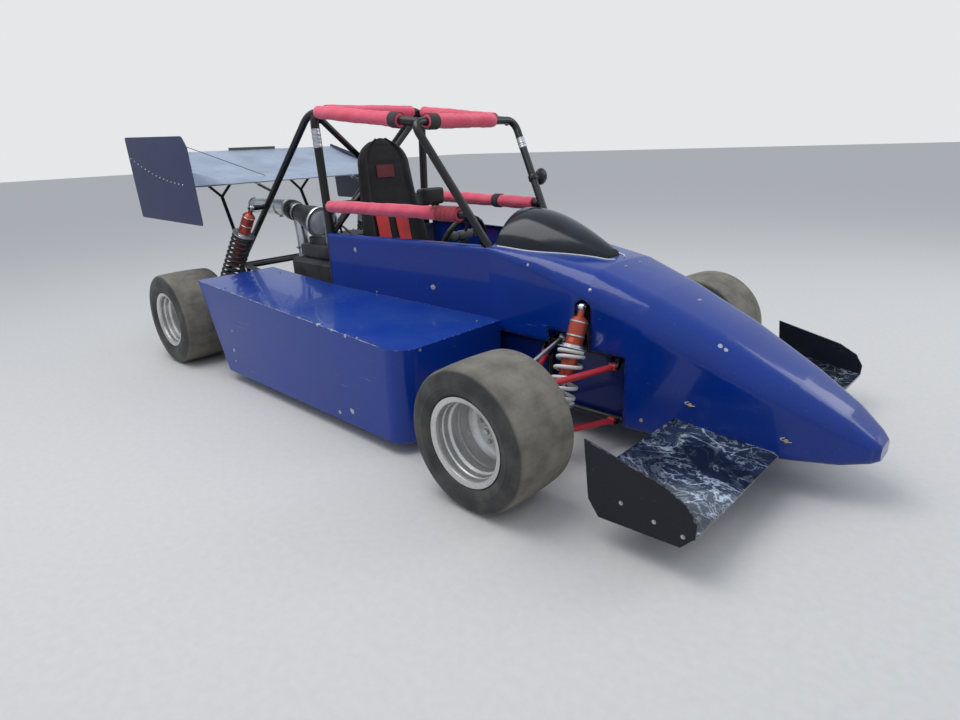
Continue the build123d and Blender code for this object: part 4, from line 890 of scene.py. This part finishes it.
# Mirrors: an oblong black housing over the right side bar on a bent stalk, and a round one on the left leg of
# the front hoop. Each holds a glass set a little inside its rim, and both look back.
def cushion_box(size, centre, power=0.28, count=28):
    """A box with round edges: each way is half the size times a signed power of the sphere's sines and cosines."""
    v = np.linspace(-math.pi / 2, math.pi / 2, count)[:, None]
    w = circle(2 * count)[None, :]
    bent_ways = (np.sign(part) * np.abs(part) ** power for part in (np.cos(v), np.sin(v), np.cos(w), np.sin(w)))
    cos_v, sin_v, cos_w, sin_w = np.broadcast_arrays(*bent_ways)
    local = np.stack((cos_v * cos_w, cos_v * sin_w, sin_v), -1) * np.asarray(size) / 2
    return woven(local + np.asarray(centre), close_v=True)


glass = blotched("mirror_glass", (0.75, 0.78, 0.8), (0.4, 0.4, 0.38), (20, 5, 0.5, 0.8),
                 (35, 4, 0.3, 0.8, 0.03, 0.22), Metallic=1.0)
black_moulding = blotched("black_moulding", (0.005, 0.005, 0.006), (0.03, 0.03, 0.03), (14, 5, 0.4, 0.8), 0.34,
                          (420, 3, 0.15, 0.0004), Specular_IOR_Level=0.4)
post = np.array((front_axle - 0.7, -0.262, 0.858))
bar_share = 0.213 / (side_front[0] - side_rear[0])
bar_under = mirrored(side_front + (side_rear - side_front) * bar_share)
near_leg = leg_point(front_top, front_low, 0.894)
round_at = near_leg + (0.002, 0.058, 0.002)
stalk_right = gentle([post + (0, 0.02, -0.024), post + (0.002, 0.034, -0.036), bar_under + (0, 0.03, 0.03),
                      bar_under + (0, 0.029, 0.012)])
stalk_left = gentle([near_leg + (0, 0.014, 0), near_leg + (0.004, 0.03, 0.004), round_at])
housings = [
    cushion_box((0.03, 0.124, 0.064), post), swept(stalk_right, 0.0058, 14, (1, 0, 0)),
    lathed([(-0.014, 0.0), (-0.014, 0.0335), (-0.004, 0.0365), (0.006, 0.03), (0.016, 0.014), (0.018, 0)], 0.003,
           round_at, (1, 0, 0), 40, steps=4),
    swept(stalk_left, 0.0055, 14, (1, 0, 0)),
    lathed([(-0.011, bar_radius), (-0.011, 0.021), (0.011, 0.021), (0.011, bar_radius)], 0.002, near_leg,
           front_top - front_low, 28, True)]
make_piece("mirror_housings", housings, black_moulding, "mirrors")
glasses = [
    cushion_box((0.003, 0.112, 0.053), post - (0.0148, 0, 0), 0.22),
    turned([(-0.0005, 0), (-0.0012, 0.02), (-0.0004, 0.0315), (0.002, 0.0315), (0.002, 0)],
           round_at - (0.0142, 0, 0), (1, 0, 0), 36)]
make_piece("mirror_glasses", glasses, glass, "mirrors")


# Bindings: black cloth tape wound over the pads where the bars meet, a darker red wrap at the front of the right
# side pad, a band on the left one, and strips of silver tape on two legs of the cage.
def wrap(start, end, radius, turns, seed):
    """Tape wound on a bar: the radius steps up by a little at each overlap, so the layers show as low ridges."""
    length = np.linalg.norm(end - start)
    along = np.linspace(0, 1, 40)[:, None]
    spin = circle(40)[None, :]
    layer = (along * turns + spin / (2 * math.pi)) % 1.0
    inner = np.full((1, 40), radius - 0.003)
    reach = np.vstack((inner, radius + 0.0011 * layer + 0.0005 * np.sin(along * 31 + spin * 2 + seed), inner))
    rise = np.vstack((np.zeros((1, 1)), along * length, np.full((1, 1), length)))
    return about(reach, rise, spin, start, end - start)


def part_way(row, start, end):
    """Two points on a pad, told as lengths from its start, or from its end where negative."""
    low, high = pad_rows[row][1:3]
    length = np.linalg.norm(high - low)
    way = (high - low) / length
    return [low + way * (value if value >= 0 else length + value) for value in (start, end)]


wrap_radius = 0.0296
black_tape = cloth("black_cloth_tape", (0.015, 0.015, 0.016), (0.06, 0.058, 0.055), 1500, 0.1)
dark_red = cloth("dark_red_wrap", (0.3, 0.02, 0.035), (0.4, 0.04, 0.06), 900, 0.2)
silver = metal("silver_tape", (0.62, 0.64, 0.67), 0.3, 0.3, spots=40)
hoop_leg, front_leg = (mirrored(hoop_top), mirrored(hoop_waist)), (front_top, front_low)
for name, tapes, material in (
    ("pad_bindings", [wrap(*part_way(2, -0.045, -0.002), wrap_radius, 2.6, 1),
                      wrap(*part_way(5, 0.002, 0.05), wrap_radius, 2.6, 2),
                      wrap(*part_way(1, 0.205, 0.245), wrap_radius, 2.0, 3)], black_tape),
    ("side_pad_wrap", [wrap(*part_way(0, 0.002, 0.11), wrap_radius, 4.2, 4)], dark_red),
    ("silver_tape_strips", [wrap(leg_point(*hoop_leg, 1.135), leg_point(*hoop_leg, 1.055), 0.0192, 3, 5),
                            wrap(leg_point(*front_leg, 1.055), leg_point(*front_leg, 1.015), 0.0162, 2, 6)], silver),
):
    make_piece(name, tapes, material, sharp=60)

# Cowl: a black half dome moulded in plastic, glossy with a faint haze of dust, with a thin pale edge trim
# pressed round its foot where it meets the tub's skin.
dome = Finish("cowl_moulding")
haze = dome.noise(6, 6)
film = dome.facing("Z").ramp(0.2, 1) * haze.ramp(0.35, 0.75, 0.0, 0.35)
dress(dome.surface(Base_Color=dome.mix(film, (0.004, 0.005, 0.008), (0.06, 0.08, 0.12)),
                   Roughness=haze.ramp(0.3, 0.7, 0.1, 0.24), Specular_IOR_Level=0.35,
                   Normal=dome.bump(dome.noise(3, 4), 0.2, 0.004)), "cowl")
rim_pixels = [(497, 246.3), (512, 248.8), (527, 251.3), (543, 252.8), (560, 253.8), (577, 255.3), (593, 257.3),
              (607, 259.8), (615, 259.8)]
rim_points, rim_normals = seen_at(["body_shell"], rim_pixels)
trim_line = gentle(rim_points + rim_normals * 0.0012, 10)
trim_rubber = blotched("trim_rubber", (0.66, 0.68, 0.7), (0.45, 0.48, 0.52), (90, 3), 0.5)
make_piece("cowl_edge_trim", [swept(trim_line, 0.003, 10), swept(mirrored(trim_line), 0.003, 10)], trim_rubber)

# Front wings: glossy sheet with a marbled film, black with pale blue veins, and black end plates held by
# three screws each. The plates' edges are rubbed bright.
marble = Finish("marbled_film")


def veins(scale, width, seed):
    """Thin lines where a swirling noise passes its middle value."""
    swirl = grow(marble.tree, "TexNoise", {}, {
        "Vector": marble.stretch((1, 1, 1), shift=(seed, seed, 0)), "Scale": scale, "Detail": 6.0, "Roughness": 0.6,
        "Distortion": 1.3})
    return 1.0 - (swirl - 0.5).maths("ABSOLUTE", swirl - 0.5).ramp(0.0, width)


fog = marble.noise(7, 6)
web = (veins(5.5, 0.022, 1.0) + veins(11.0, 0.02, 5.0) * 0.6) * fog.ramp(0.4, 0.62, 0.12, 1.0)
stone = marble.mix(fog.ramp(0.42, 0.75, 0, 0.8), (0.006, 0.009, 0.016), (0.055, 0.085, 0.14))
marble.surface(Base_Color=marble.mix(web.ramp(0, 1.2), stone, (0.58, 0.68, 0.8)), Roughness=0.12, Coat_Weight=0.6,
               Coat_Roughness=0.05, Normal=marble.bump(marble.noise(9, 3), 0.15, 0.003))
dress(marble.material, "front_wing_planes")
dress(paint("plate_black", (0.01, 0.01, 0.012), 0.12, (0.45, 0.45, 0.45), 0.34, 0.9, flat=0.3), "front_wing_plates")
plate_spots = seen_at(["front_wing_plates"], [(621, 503), (654, 522), (683, 537)])
make_piece("front_plate_screws", both_sides(bolts, *plate_spots, 0.0042, 0.004), zinc)

# Engine: a dark cast block with a head, a ribbed cover, a round side cover and bolts, behind the firewall. Three
# pipes of rusty steel leave it by round flanges and join in a tail pipe that runs to the rear.
cast = blotched("dark_casting", (0.085, 0.085, 0.09), (0.018, 0.016, 0.014), (8, 6, 0.42, 0.7),
                (8, 6, 0.4, 0.7, 0.55, 0.32), (260, 4, 0.45, 0.001), Metallic=0.45)
dress(cast, "engine_block")
block_low, block_high = (np.array(corner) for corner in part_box("engine_block"))
block_mid, block_size = (block_low + block_high) / 2, block_high - block_low
head_at = block_mid + (0.02, 0.02, block_size[2] / 2 + 0.034)
cover_at = np.array((block_mid[0], block_low[1], block_mid[2] + 0.02))
fin = cushion_box((0.305, 0.004, 0.06), (0, 0, 0), 0.15, 12)
make_piece("engine_head", [
    cushion_box((0.3, 0.36, 0.075), head_at, 0.2), cushion_box((0.24, 0.31, 0.05), head_at + (0, 0, 0.048), 0.25),
    *((fin[0] + head_at + (0, y, 0.0), fin[1]) for y in np.linspace(-0.17, 0.17, 15)),
    cushion_box((0.05, 0.3, 0.05), head_at + (-0.17, 0, 0.0), 0.3),
    lathed([(0, 0), (0, 0.052), (0.018, 0.056), (0.03, 0.056), (0.034, 0.046), (0.034, 0)], 0.003, cover_at,
           (0, -1, 0), 36)], cast)
head_bolts = [head_at + (a, b, 0.0715) for a in (-0.09, 0.0, 0.09) for b in (-0.13, 0.13)]
side_bolts = [cover_at + (0.04 * math.cos(a), -0.033, 0.04 * math.sin(a)) for a in circle(6)]
make_piece("engine_bolts", bolts(head_bolts, (0, 0, 1), 0.005, 0.006) + bolts(side_bolts, (0, -1, 0), 0.004, 0.004),
           zinc)
rusty = blotched("rusty_pipe", (0.16, 0.075, 0.035), (0.3, 0.27, 0.24), (34, 6, 0.35, 0.65),
                 (34, 6, 0.3, 0.7, 0.75, 0.45), (34, 6, 0.4, 0.0012), Metallic=0.4)
pipes = []
for shift in (-0.09, 0.0, 0.09):
    start = np.array((block_mid[0] + shift, block_high[1] - 0.002, block_high[2] - 0.03))
    pipes.append(swept(gentle([
        start, start + (0, 0.035, 0.0), (block_mid[0] + shift * 0.7 - 0.03, 0.235, block_high[2] - 0.1),
        (block_mid[0] - 0.17, 0.238, block_high[2] - 0.19)], 10), 0.017, 18, (1, 0.2, 0.1)))
    pipes.append(lathed([(-0.004, 0.0), (-0.004, 0.026), (0.004, 0.026), (0.004, 0)], 0.001, start + (0, 0.004, 0),
                        (0, 1, 0), 20))
tail_start = np.array((block_mid[0] - 0.13, 0.238, block_high[2] - 0.185))
pipes.append(swept(gentle([tail_start, tail_start + (-0.12, 0, -0.04), (front_axle - 2.1, 0.225, 0.475),
                           (front_axle - 2.32, 0.215, 0.485)], 12), 0.024, 22, (0, 0, 1)))
make_piece("exhaust_pipes", pipes, rusty, sharp=50)


# Intake: a black moulded cone whose mouth is closed by a pale filter cloth inside an alloy ring, a rubber
# coupler, and a straight alloy tube to the rear, with an elbow down to the engine. Steel clamps hold the coupler,
# the tube and the elbow.
def band_clamp(point, way, radius):
    """A worm drive clamp: a flat band round a hose, rolled at both edges, with its screw housing on top."""
    band = lathed([(-0.0065, radius - 0.001), (-0.0065, radius + 0.0016), (-0.005, radius + 0.0008),
                   (0.005, radius + 0.0008), (0.0065, radius + 0.0016), (0.0065, radius - 0.001)], 0.0004, point, way,
                  44, True, 2)
    across, up, _ = axes_along(way).T
    screw = turned([(-0.01, 0), (-0.01, 0.0052), (0.008, 0.0052), (0.009, 0.004), (0.012, 0.004), (0.012, 0)],
                   np.asarray(point) + up * (radius + 0.0055), across, 12)
    return [band, screw]


duct_y = -0.15
mouth, neck = np.array((front_axle - 1.68, duct_y, 0.694)), np.array((front_axle - 1.96, duct_y, 0.752))
duct_end = np.array((front_axle - 2.335, duct_y, 0.758))
duct_way = neck - mouth
duct_unit = duct_way / np.linalg.norm(duct_way)
cone = lathed([(0.012, 0.0), (0.012, 0.066), (0.002, 0.07), (0.0, 0.078), (0.01, 0.0795), (0.022, 0.076),
               (0.06, 0.069), (0.125, 0.056), (0.175, 0.0465), (0.205, 0.0415), (0.215, 0.0)], 0.004, mouth,
              duct_way, 56, steps=4)
ring = lathed([(-0.004, 0.064), (-0.004, 0.0775), (0.004, 0.08), (0.008, 0.08), (0.008, 0.064)], 0.0015, mouth,
              duct_way, 56, True)
screen = Finish("pale_filter_cloth")
screen.surface(Base_Color=screen.mix(screen.noise(18, 5).ramp(0.4, 0.7), (0.62, 0.63, 0.62), (0.4, 0.41, 0.42)),
               Roughness=0.8, Normal=screen.bump(screen.cells(500), 0.3, 0.0006))
dip = np.linspace(0, math.pi / 2, 10)
filter_line = [*np.column_stack((0.004 - 0.012 * np.cos(dip), 0.0665 * np.sin(dip))), (0.01, 0.0665), (0.01, 0)]
coupler = lathed([(0.196, 0.0), (0.196, 0.046), (0.206, 0.0465), (0.212, 0.049), (0.226, 0.053), (0.262, 0.053),
                  (0.276, 0.049), (0.284, 0.0465), (0.296, 0.046), (0.296, 0.0)], 0.004, mouth, duct_way, 48, steps=4)
tube_line = gentle([mouth + duct_way * 0.8, neck, neck * 0.8 + duct_end * 0.2 + (0, 0, 0.003),
                    duct_end * 0.75 + neck * 0.25, duct_end], 14)
elbow_top = neck * 0.72 + mouth * 0.28
elbow_foot = elbow_top[0] + 0.012
elbow = gentle([elbow_top + (-0.02, 0, 0.0), elbow_top + (0.0, 0, -0.045), (elbow_foot, duct_y, 0.6),
                (elbow_foot, duct_y, block_high[2] - 0.005)], 10)
tube_end = lathed([(-0.006, 0.036), (-0.006, 0.0435), (0.006, 0.0435), (0.006, 0.036)], 0.001, duct_end, (1, 0, 0),
                  40, True)
duct_alloy = metal("duct_alloy", (0.7, 0.72, 0.75), 0.2, 0.35, spots=12, brush=(8, 700, 700))
clamps = []
for point, way, radius in (
    (mouth + duct_unit * 0.203, duct_way, 0.0465), (mouth + duct_unit * 0.289, duct_way, 0.0462),
    (neck + (-0.1, 0, 0.001), (1, 0, 0), 0.0408), (elbow[-6], elbow[-5] - elbow[-7], 0.0302),
):
    clamps += band_clamp(point, way, radius)
for name, shapes, material, slot, sharp in (
    ("intake_cone", [cone], black_moulding, "black_plastic", 35),
    ("intake_mouth_ring", [ring], collar_alloy, "sheet_alloy", 35),
    ("intake_filter_face", [turned(filter_line, mouth, duct_way, 48)], screen.material, "sheet_alloy", 40),
    ("intake_coupler", [coupler], black_moulding, "black_plastic", 35),
    ("intake_tube", [swept(tube_line, 0.0405, 40), swept(elbow, 0.03, 28, (0, 1, 0)), tube_end], duct_alloy,
     "sheet_alloy", 45),
    ("intake_clamps", clamps, zinc, "raw_steel", 40),
):
    make_piece(name, shapes, material, "intake_duct", sharp)

# Catch tank: a spun alloy can with a black cap, strapped to a small bracket behind the main hoop, with a thin
# breather pipe. The can's blue grey colour is alloy with a painted reflection of the sky.
tank_low, tank_high = (np.array(corner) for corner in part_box("catch_tank"))
tank_at = np.array((tank_low[0] + 0.032, (tank_low[1] + tank_high[1]) / 2, tank_low[2]))
tank = lathed([
    (0, 0), (0, 0.028), (0.006, 0.032), (0.014, 0.0325), (0.016, 0.0315), (0.118, 0.0315), (0.12, 0.0325),
    (0.128, 0.032), (0.136, 0.026), (0.138, 0)], 0.002, tank_at, (0, 0, 1), 40, steps=4)
cap = lathed([(0.136, 0), (0.136, 0.02), (0.15, 0.0195), (0.153, 0.017), (0.153, 0)], 0.0015, tank_at, (0, 0, 1), 28)
strap_ring = lathed([(0.085, 0.031), (0.085, 0.0342), (0.101, 0.0342), (0.101, 0.031)], 0.0006, tank_at, (0, 0, 1),
                    40, True)
breather = swept(gentle([tank_at + (0, 0, 0.15), tank_at + (0, 0, 0.175), tank_at + (0.03, 0.004, 0.194),
                         (hoop_x - 0.017, tank_at[1] + 0.004, 0.796)]), 0.005, 14, (0, 1, 0))
# The blue in this alloy colour is a painted reflection of the sky.
tank_alloy_painted_sky = metal("tank_alloy_painted_sky", (0.34, 0.4, 0.5), 0.3, 0.4, spots=20)
make_piece("catch_tank_can", [tank, strap_ring], tank_alloy_painted_sky, "catch_tank", 40)
make_piece("catch_tank_cap", [cap, breather], black_moulding, "catch_tank", 40)
make_piece("catch_tank_bracket", [
    cushion_box((0.052, 0.03, 0.003), tank_at + (0.036, 0, 0.16), 0.2, 12),
    swept([tank_at + (0.028, 0, 0.094), tank_at + (0.045, 0, 0.158)], 0.004, 10)], zinc)

# Cooling and fuel lines: two black rubber hoses from the block forward, a thinner line beside the left rail and
# a breather from the head. Their front ends are free, 2 to 7 cm behind the firewall, and so is the line's rear.
hoses = [swept(gentle([
    (block_high[0] - 0.02, y, block_high[2] - 0.06), (block_high[0] + 0.06, y - 0.01, block_high[2] - 0.02),
    (front_axle - 1.46, y * 0.8, 0.5), (front_axle - 1.375, y * 0.75, 0.47)], 10), 0.013, 16, (0, 1, 0))
    for y in (-0.07, 0.09)]
hoses.append(swept(gentle([(front_axle - 1.42, 0.215, 0.46), (front_axle - 1.62, 0.262, 0.452),
                           (front_axle - 1.95, 0.262, 0.468), (front_axle - 2.2, 0.25, 0.452)], 12), 0.008, 12))
hoses.append(swept(gentle([
    (head_at[0], -0.02, head_at[2] + 0.07), (head_at[0] + 0.05, -0.05, head_at[2] + 0.12),
    (head_at[0] + 0.16, -0.02, head_at[2] + 0.05), (front_axle - 1.4, 0.02, 0.6)], 10), 0.006, 12, (0, 1, 0)))
make_piece("engine_hoses", hoses, black_moulding, sharp=60)

# Rear wing: a cambered plane of bare sheet alloy with its front edge folded down and a corner folded up on the
# right, rows of rivets, dull and streaked, its blue tint a painted reflection of the sky. A black angle strip runs
# along part of its rear edge, and a thin wire stays the tall plate.
alloy = Finish("wing_alloy_painted_sky")
smear, streak = alloy.noise(5, 6), alloy.noise(1, 5, alloy.stretch((3, 30, 30)))
# Both blue grey colours are alloy with a painted reflection of the blue sky in them.
alloy.surface(Base_Color=alloy.mix(smear.ramp(0.35, 0.7), (0.4, 0.47, 0.58), (0.28, 0.33, 0.41)), Metallic=0.5,
              Roughness=(streak * 0.2 + smear * 0.2 + 0.22), Normal=alloy.bump(streak + smear, 0.2, 0.0015))
wing_half, fold_start, wing_front, wing_rear = 0.651, 0.475, -2.06, -2.7


def on_wing(d, y, under=0.0):
    """A point on the wing's upper skin: its height is a quadratic through the plane's three upper points."""
    d = np.asarray(d, float)
    height = np.polyval(np.polyfit((wing_front, -2.37, wing_rear), (0.925, 0.967, 1.062), 2), d) - under
    return np.column_stack((front_axle + d, np.broadcast_to(y, d.shape), height))


def at_y(outline, y):
    """An outline of x, told from the front axle, and z, as points at a y."""
    outline = np.asarray(outline)
    return np.column_stack((front_axle + outline[:, 0], np.full(len(outline), y), outline[:, 1]))


upper, lower = np.linspace(wing_front, wing_rear, 30), np.linspace(wing_rear, wing_front, 30)
belly = 0.01 + 0.022 * np.sin(np.clip((lower - wing_rear) / (wing_front - wing_rear), 0, 1) * math.pi * 0.62)
fold = at_y([(-1.992, 0.905), (-2.05, 0.9225), (-1.992, 0.8965), (-1.987, 0.898), (-1.986, 0.902)], 0)
section = np.vstack((fold[:2], on_wing(upper, 0), on_wing(lower, 0, belly), fold[2:]))
stations = np.linspace(-wing_half, wing_half, 41)[:, None]
sag = 0.0012 * np.cos(stations * 22)
wing_rows = section[None] + np.stack((0 * sag, stations + 0 * sag, -np.abs(sag)), -1)
inner = at_y([(-2.058, 0.9245), (-1.987, 0.902), (-1.99, 0.897), (-2.06, 0.893)], -fold_start)
outer = at_y([(-1.942, 0.968), (-1.922, 0.907), (-1.925, 0.902), (-2.098, 0.9)], -wing_half)
blend = np.linspace(0, 1, 8)[:, None, None]
make_piece("rear_wing_skin", [capped(wing_rows)], alloy.material, "rear_wing_plane", 25)
make_piece("rear_wing_corner_folds", [capped(inner[None] * (1 - blend) + outer[None] * blend)], alloy.material,
           "rear_wing_plane", 20)
rivet_rows = [on_wing(np.linspace(-2.09, -2.67, 14), y) for y in (-0.475, -0.16, 0.16, 0.475)]
rivet_rows += [on_wing(np.full(26, d), np.linspace(-0.63, 0.63, 26)) for d in (-2.075, -2.685)]
plate_line = on_wing(np.linspace(-2.06, -2.68, 15), -0.6542) - (0, 0, 0.016)
wing_rivets = rivets(np.vstack(rivet_rows), (0.18, 0, 1), 0.0034, 0.0022)
wing_rivets += both_sides(rivets, plate_line, (0, -1, 0), 0.0042, 0.0026)
make_piece("wing_rivets", wing_rivets, zinc, sharp=50)
angle = [(0, 0, 0), (-0.001, 0, 0.016), (-0.0025, 0, 0.016), (-0.003, 0, 0.0), (-0.0012, 0, -0.0015)]
strip_rows = np.stack([on_wing([-2.694], y) + angle for y in np.linspace(-0.085, 0.225, 17)])
make_piece("wing_rear_strip", [capped(strip_rows)], damper_black)
wire_line = [(front_axle - 1.962, -0.648, 1.085), (front_axle - 2.052, -0.216, 0.926)]
make_piece("wing_brace_wire", [swept(wire_line, 0.0016, 8)], damper_black, sharp=60)


# End plates: flat sheet with rounded corners, the right one tall over the wing, the left one ending at it.
# Both are painted a dull dark blue, bare along their edges, and held by the rivets and small angles.
def plate(outline, y, thickness=0.003):
    """A flat sheet: an outline of x and z, its corners cut back by a curve, as two faces joined by its edge."""
    ring = np.array(outline, float)
    line = rounded(np.vstack(((ring[-1] + ring[0]) / 2, ring, (ring[-1] + ring[0]) / 2)), 0.016, 5)[:-1]
    steps = np.array((0.0, 0.0006, thickness - 0.0006, thickness)) * (1 if y > 0 else -1)
    middle, count = line.mean(axis=0), len(line)
    rows = [at_y(middle + (line - middle) * inset, y + step) for step, inset in zip(steps, (0.9985, 1.0, 1.0, 0.9985))]
    points, quads = woven(np.stack(rows), close_v=True)
    return points, [tuple(q) for q in quads] + [tuple(range(count)), tuple(range(3 * count, 4 * count))]


plate_foot = [(-1.91, 0.719), (-2.683, 0.727)]
tall = [(-2.716, 1.149), (-1.981, 1.132), (-1.937, 1.082), *plate_foot]
low_plate = [(-2.712, 1.08), (-2.37, 0.992), (-2.04, 0.946), (-1.918, 0.932), *plate_foot]
plate_blue = paint("plate_blue", (0.026, 0.032, 0.1), 0.18, (0.5, 0.52, 0.55), 0.36, 1.0, flat=0.3)
plate_grey = paint("plate_grey_blue", (0.055, 0.06, 0.085), 0.3, (0.5, 0.52, 0.55), 0.4, 0.8, flat=0.3)
make_piece("rear_plate_right", [plate(tall, -wing_half)], plate_blue, "rear_wing_plates", 25)
make_piece("rear_plate_left", [plate(low_plate, wing_half)], plate_grey, "rear_wing_plates", 25)
angle_pieces = []
for sign in (-1, 1):
    for d in (-2.2, -2.5):
        under = on_wing([d], 0)[0, 2] - 0.034
        for size, half, drop in (((0.06, 0.0024, 0.03), 0.6492, 0.014), ((0.06, 0.03, 0.0024), 0.636, 0.0)):
            angle_pieces.append(cushion_box(size, (front_axle + d, sign * half, under - drop), 0.15, 10))
make_piece("wing_plate_angles", angle_pieces, zinc)

# Steering wheel: a rubber grip moulded with finger waves, three plate spokes with a narrow waist, a boss with six
# screws, and a grey cloth roll tied across it. It turns with its column.
hub = np.array((front_axle - 0.8, 0, 0.62))
column_way = np.array((front_axle - 0.139, 0, 0.387)) - hub
column_way /= np.linalg.norm(column_way)
wheel_axes = np.column_stack(((0, 1, 0), np.cross((0, 1, 0), column_way), column_way))
sideways, upward = wheel_axes[:, 0], wheel_axes[:, 1] * np.sign(wheel_axes[2, 1])
grip_radius, roll_half, tie_half = 0.13, 0.098, 0.045
around_wheel, around_grip = circle(168)[:, None], circle(20)[None, :]
thick = 0.0125 + 0.0006 * np.cos(around_wheel * 28)
reach = grip_radius + thick * np.cos(around_grip)
grip = np.stack((reach * np.cos(around_wheel), reach * np.sin(around_wheel), thick * np.sin(around_grip)), -1)
spokes = []
for turn in np.radians((90, 210, 330)):
    along_spoke = sideways * math.cos(turn) + np.cross(column_way, sideways) * math.sin(turn)
    spoke_axes = np.column_stack((along_spoke, np.cross(column_way, along_spoke), column_way))
    spoke, spoke_faces = cushion_box((0.102, 0.024, 0.004), (0.074, 0, 0), 0.12, 14)
    spoke[:, 1] *= 1.0 - 0.35 * np.sin(np.clip((spoke[:, 0] - 0.023) / 0.102, 0, 1) * math.pi)
    spokes.append((hub + spoke @ spoke_axes.T, spoke_faces))
spokes.append(lathed([(-0.011, 0), (-0.011, 0.03), (-0.005, 0.034), (0.011, 0.034), (0.011, 0)], 0.002, hub,
                     column_way, 40))
screw_ring = [hub - column_way * 0.011 + (sideways * math.cos(a) + upward * math.sin(a)) * 0.022 for a in circle(6)]
grey_cloth = cloth("grey_roll_cloth", (0.11, 0.105, 0.1), (0.19, 0.18, 0.17), 500, 0.2)
roll_at = hub + upward * 0.052 - column_way * 0.006
roll_y, roll_turn = np.linspace(-roll_half, roll_half, 61)[:, None], circle(36)[None, :]
fat = 0.0195 * (1 - np.clip(np.abs(roll_y) / roll_half, 0, 1) ** 10) ** 0.5
fat = fat * (1 - 0.2 * np.exp(-((np.abs(roll_y) - tie_half) / 0.006) ** 2))
fat = fat * (1 + 0.03 * np.sin(roll_y * 160 + 3 * roll_turn))
roll_out = upward * np.cos(roll_turn)[..., None] + column_way * np.sin(roll_turn)[..., None]
cloth_roll = woven(roll_at + sideways * roll_y[..., None] + roll_out * fat[..., None], close_v=True)
ties = [turned([(-0.003, 0.015), (-0.003, 0.0175), (0.003, 0.0175), (0.003, 0.015)], roll_at + (0, y, 0),
               (0, 1, 0), 24, True) for y in (-tie_half, tie_half)]
wheel = "steering_wheel"
for name, shapes, material, slot, node, sharp in (
    ("wheel_grip", [woven(hub + grip @ wheel_axes.T, True, True)], black_moulding, "black_plastic", wheel, 60),
    ("wheel_spokes", spokes, damper_black, "black_plastic", wheel, 35),
    ("wheel_boss_screws", bolts(screw_ring, -column_way, 0.0035, 0.003), zinc, "raw_steel", wheel, 35),
    ("wheel_cloth_roll", [cloth_roll], grey_cloth, "seat_cloth", None, 60),
    ("wheel_roll_ties", ties, black_moulding, "black_plastic", None, 35),
):
    make_piece(name, shapes, material, node, sharp, wheel)

# Nose clips: two sprung clips of bent steel wire on each side of the nose's lower edge, each held by a yellowed
# nylon tab.
tabs, clips = [], []
for spot, normal in zip(*seen_at(["body_shell"], [(690, 405), (786, 441)])):
    for side in ((1, 1, 1), (1, -1, 1)):
        middle, out = spot * side, normal * side
        tangent = np.cross(out, (0, 0, 1))
        tangent /= np.linalg.norm(tangent)
        low_way = np.cross(tangent, out)
        tabs.append(lathed([(0, 0), (0, 0.007), (0.0035, 0.006), (0.004, 0)], 0.001, middle, out, 24))
        clips.append(swept(gentle([
            middle + out * 0.004 - tangent * 0.016, middle + out * 0.006,
            middle + out * 0.0045 + tangent * 0.016 + low_way * 0.006,
            middle + out * 0.002 + tangent * 0.004 + low_way * 0.01]), 0.0013, 8))
nylon = blotched("yellowed_nylon", (0.5, 0.38, 0.12), (0.32, 0.22, 0.08), (60, 3), 0.5)
make_piece("nose_clip_tabs", tabs, nylon)
make_piece("nose_clip_wires", clips, zinc)
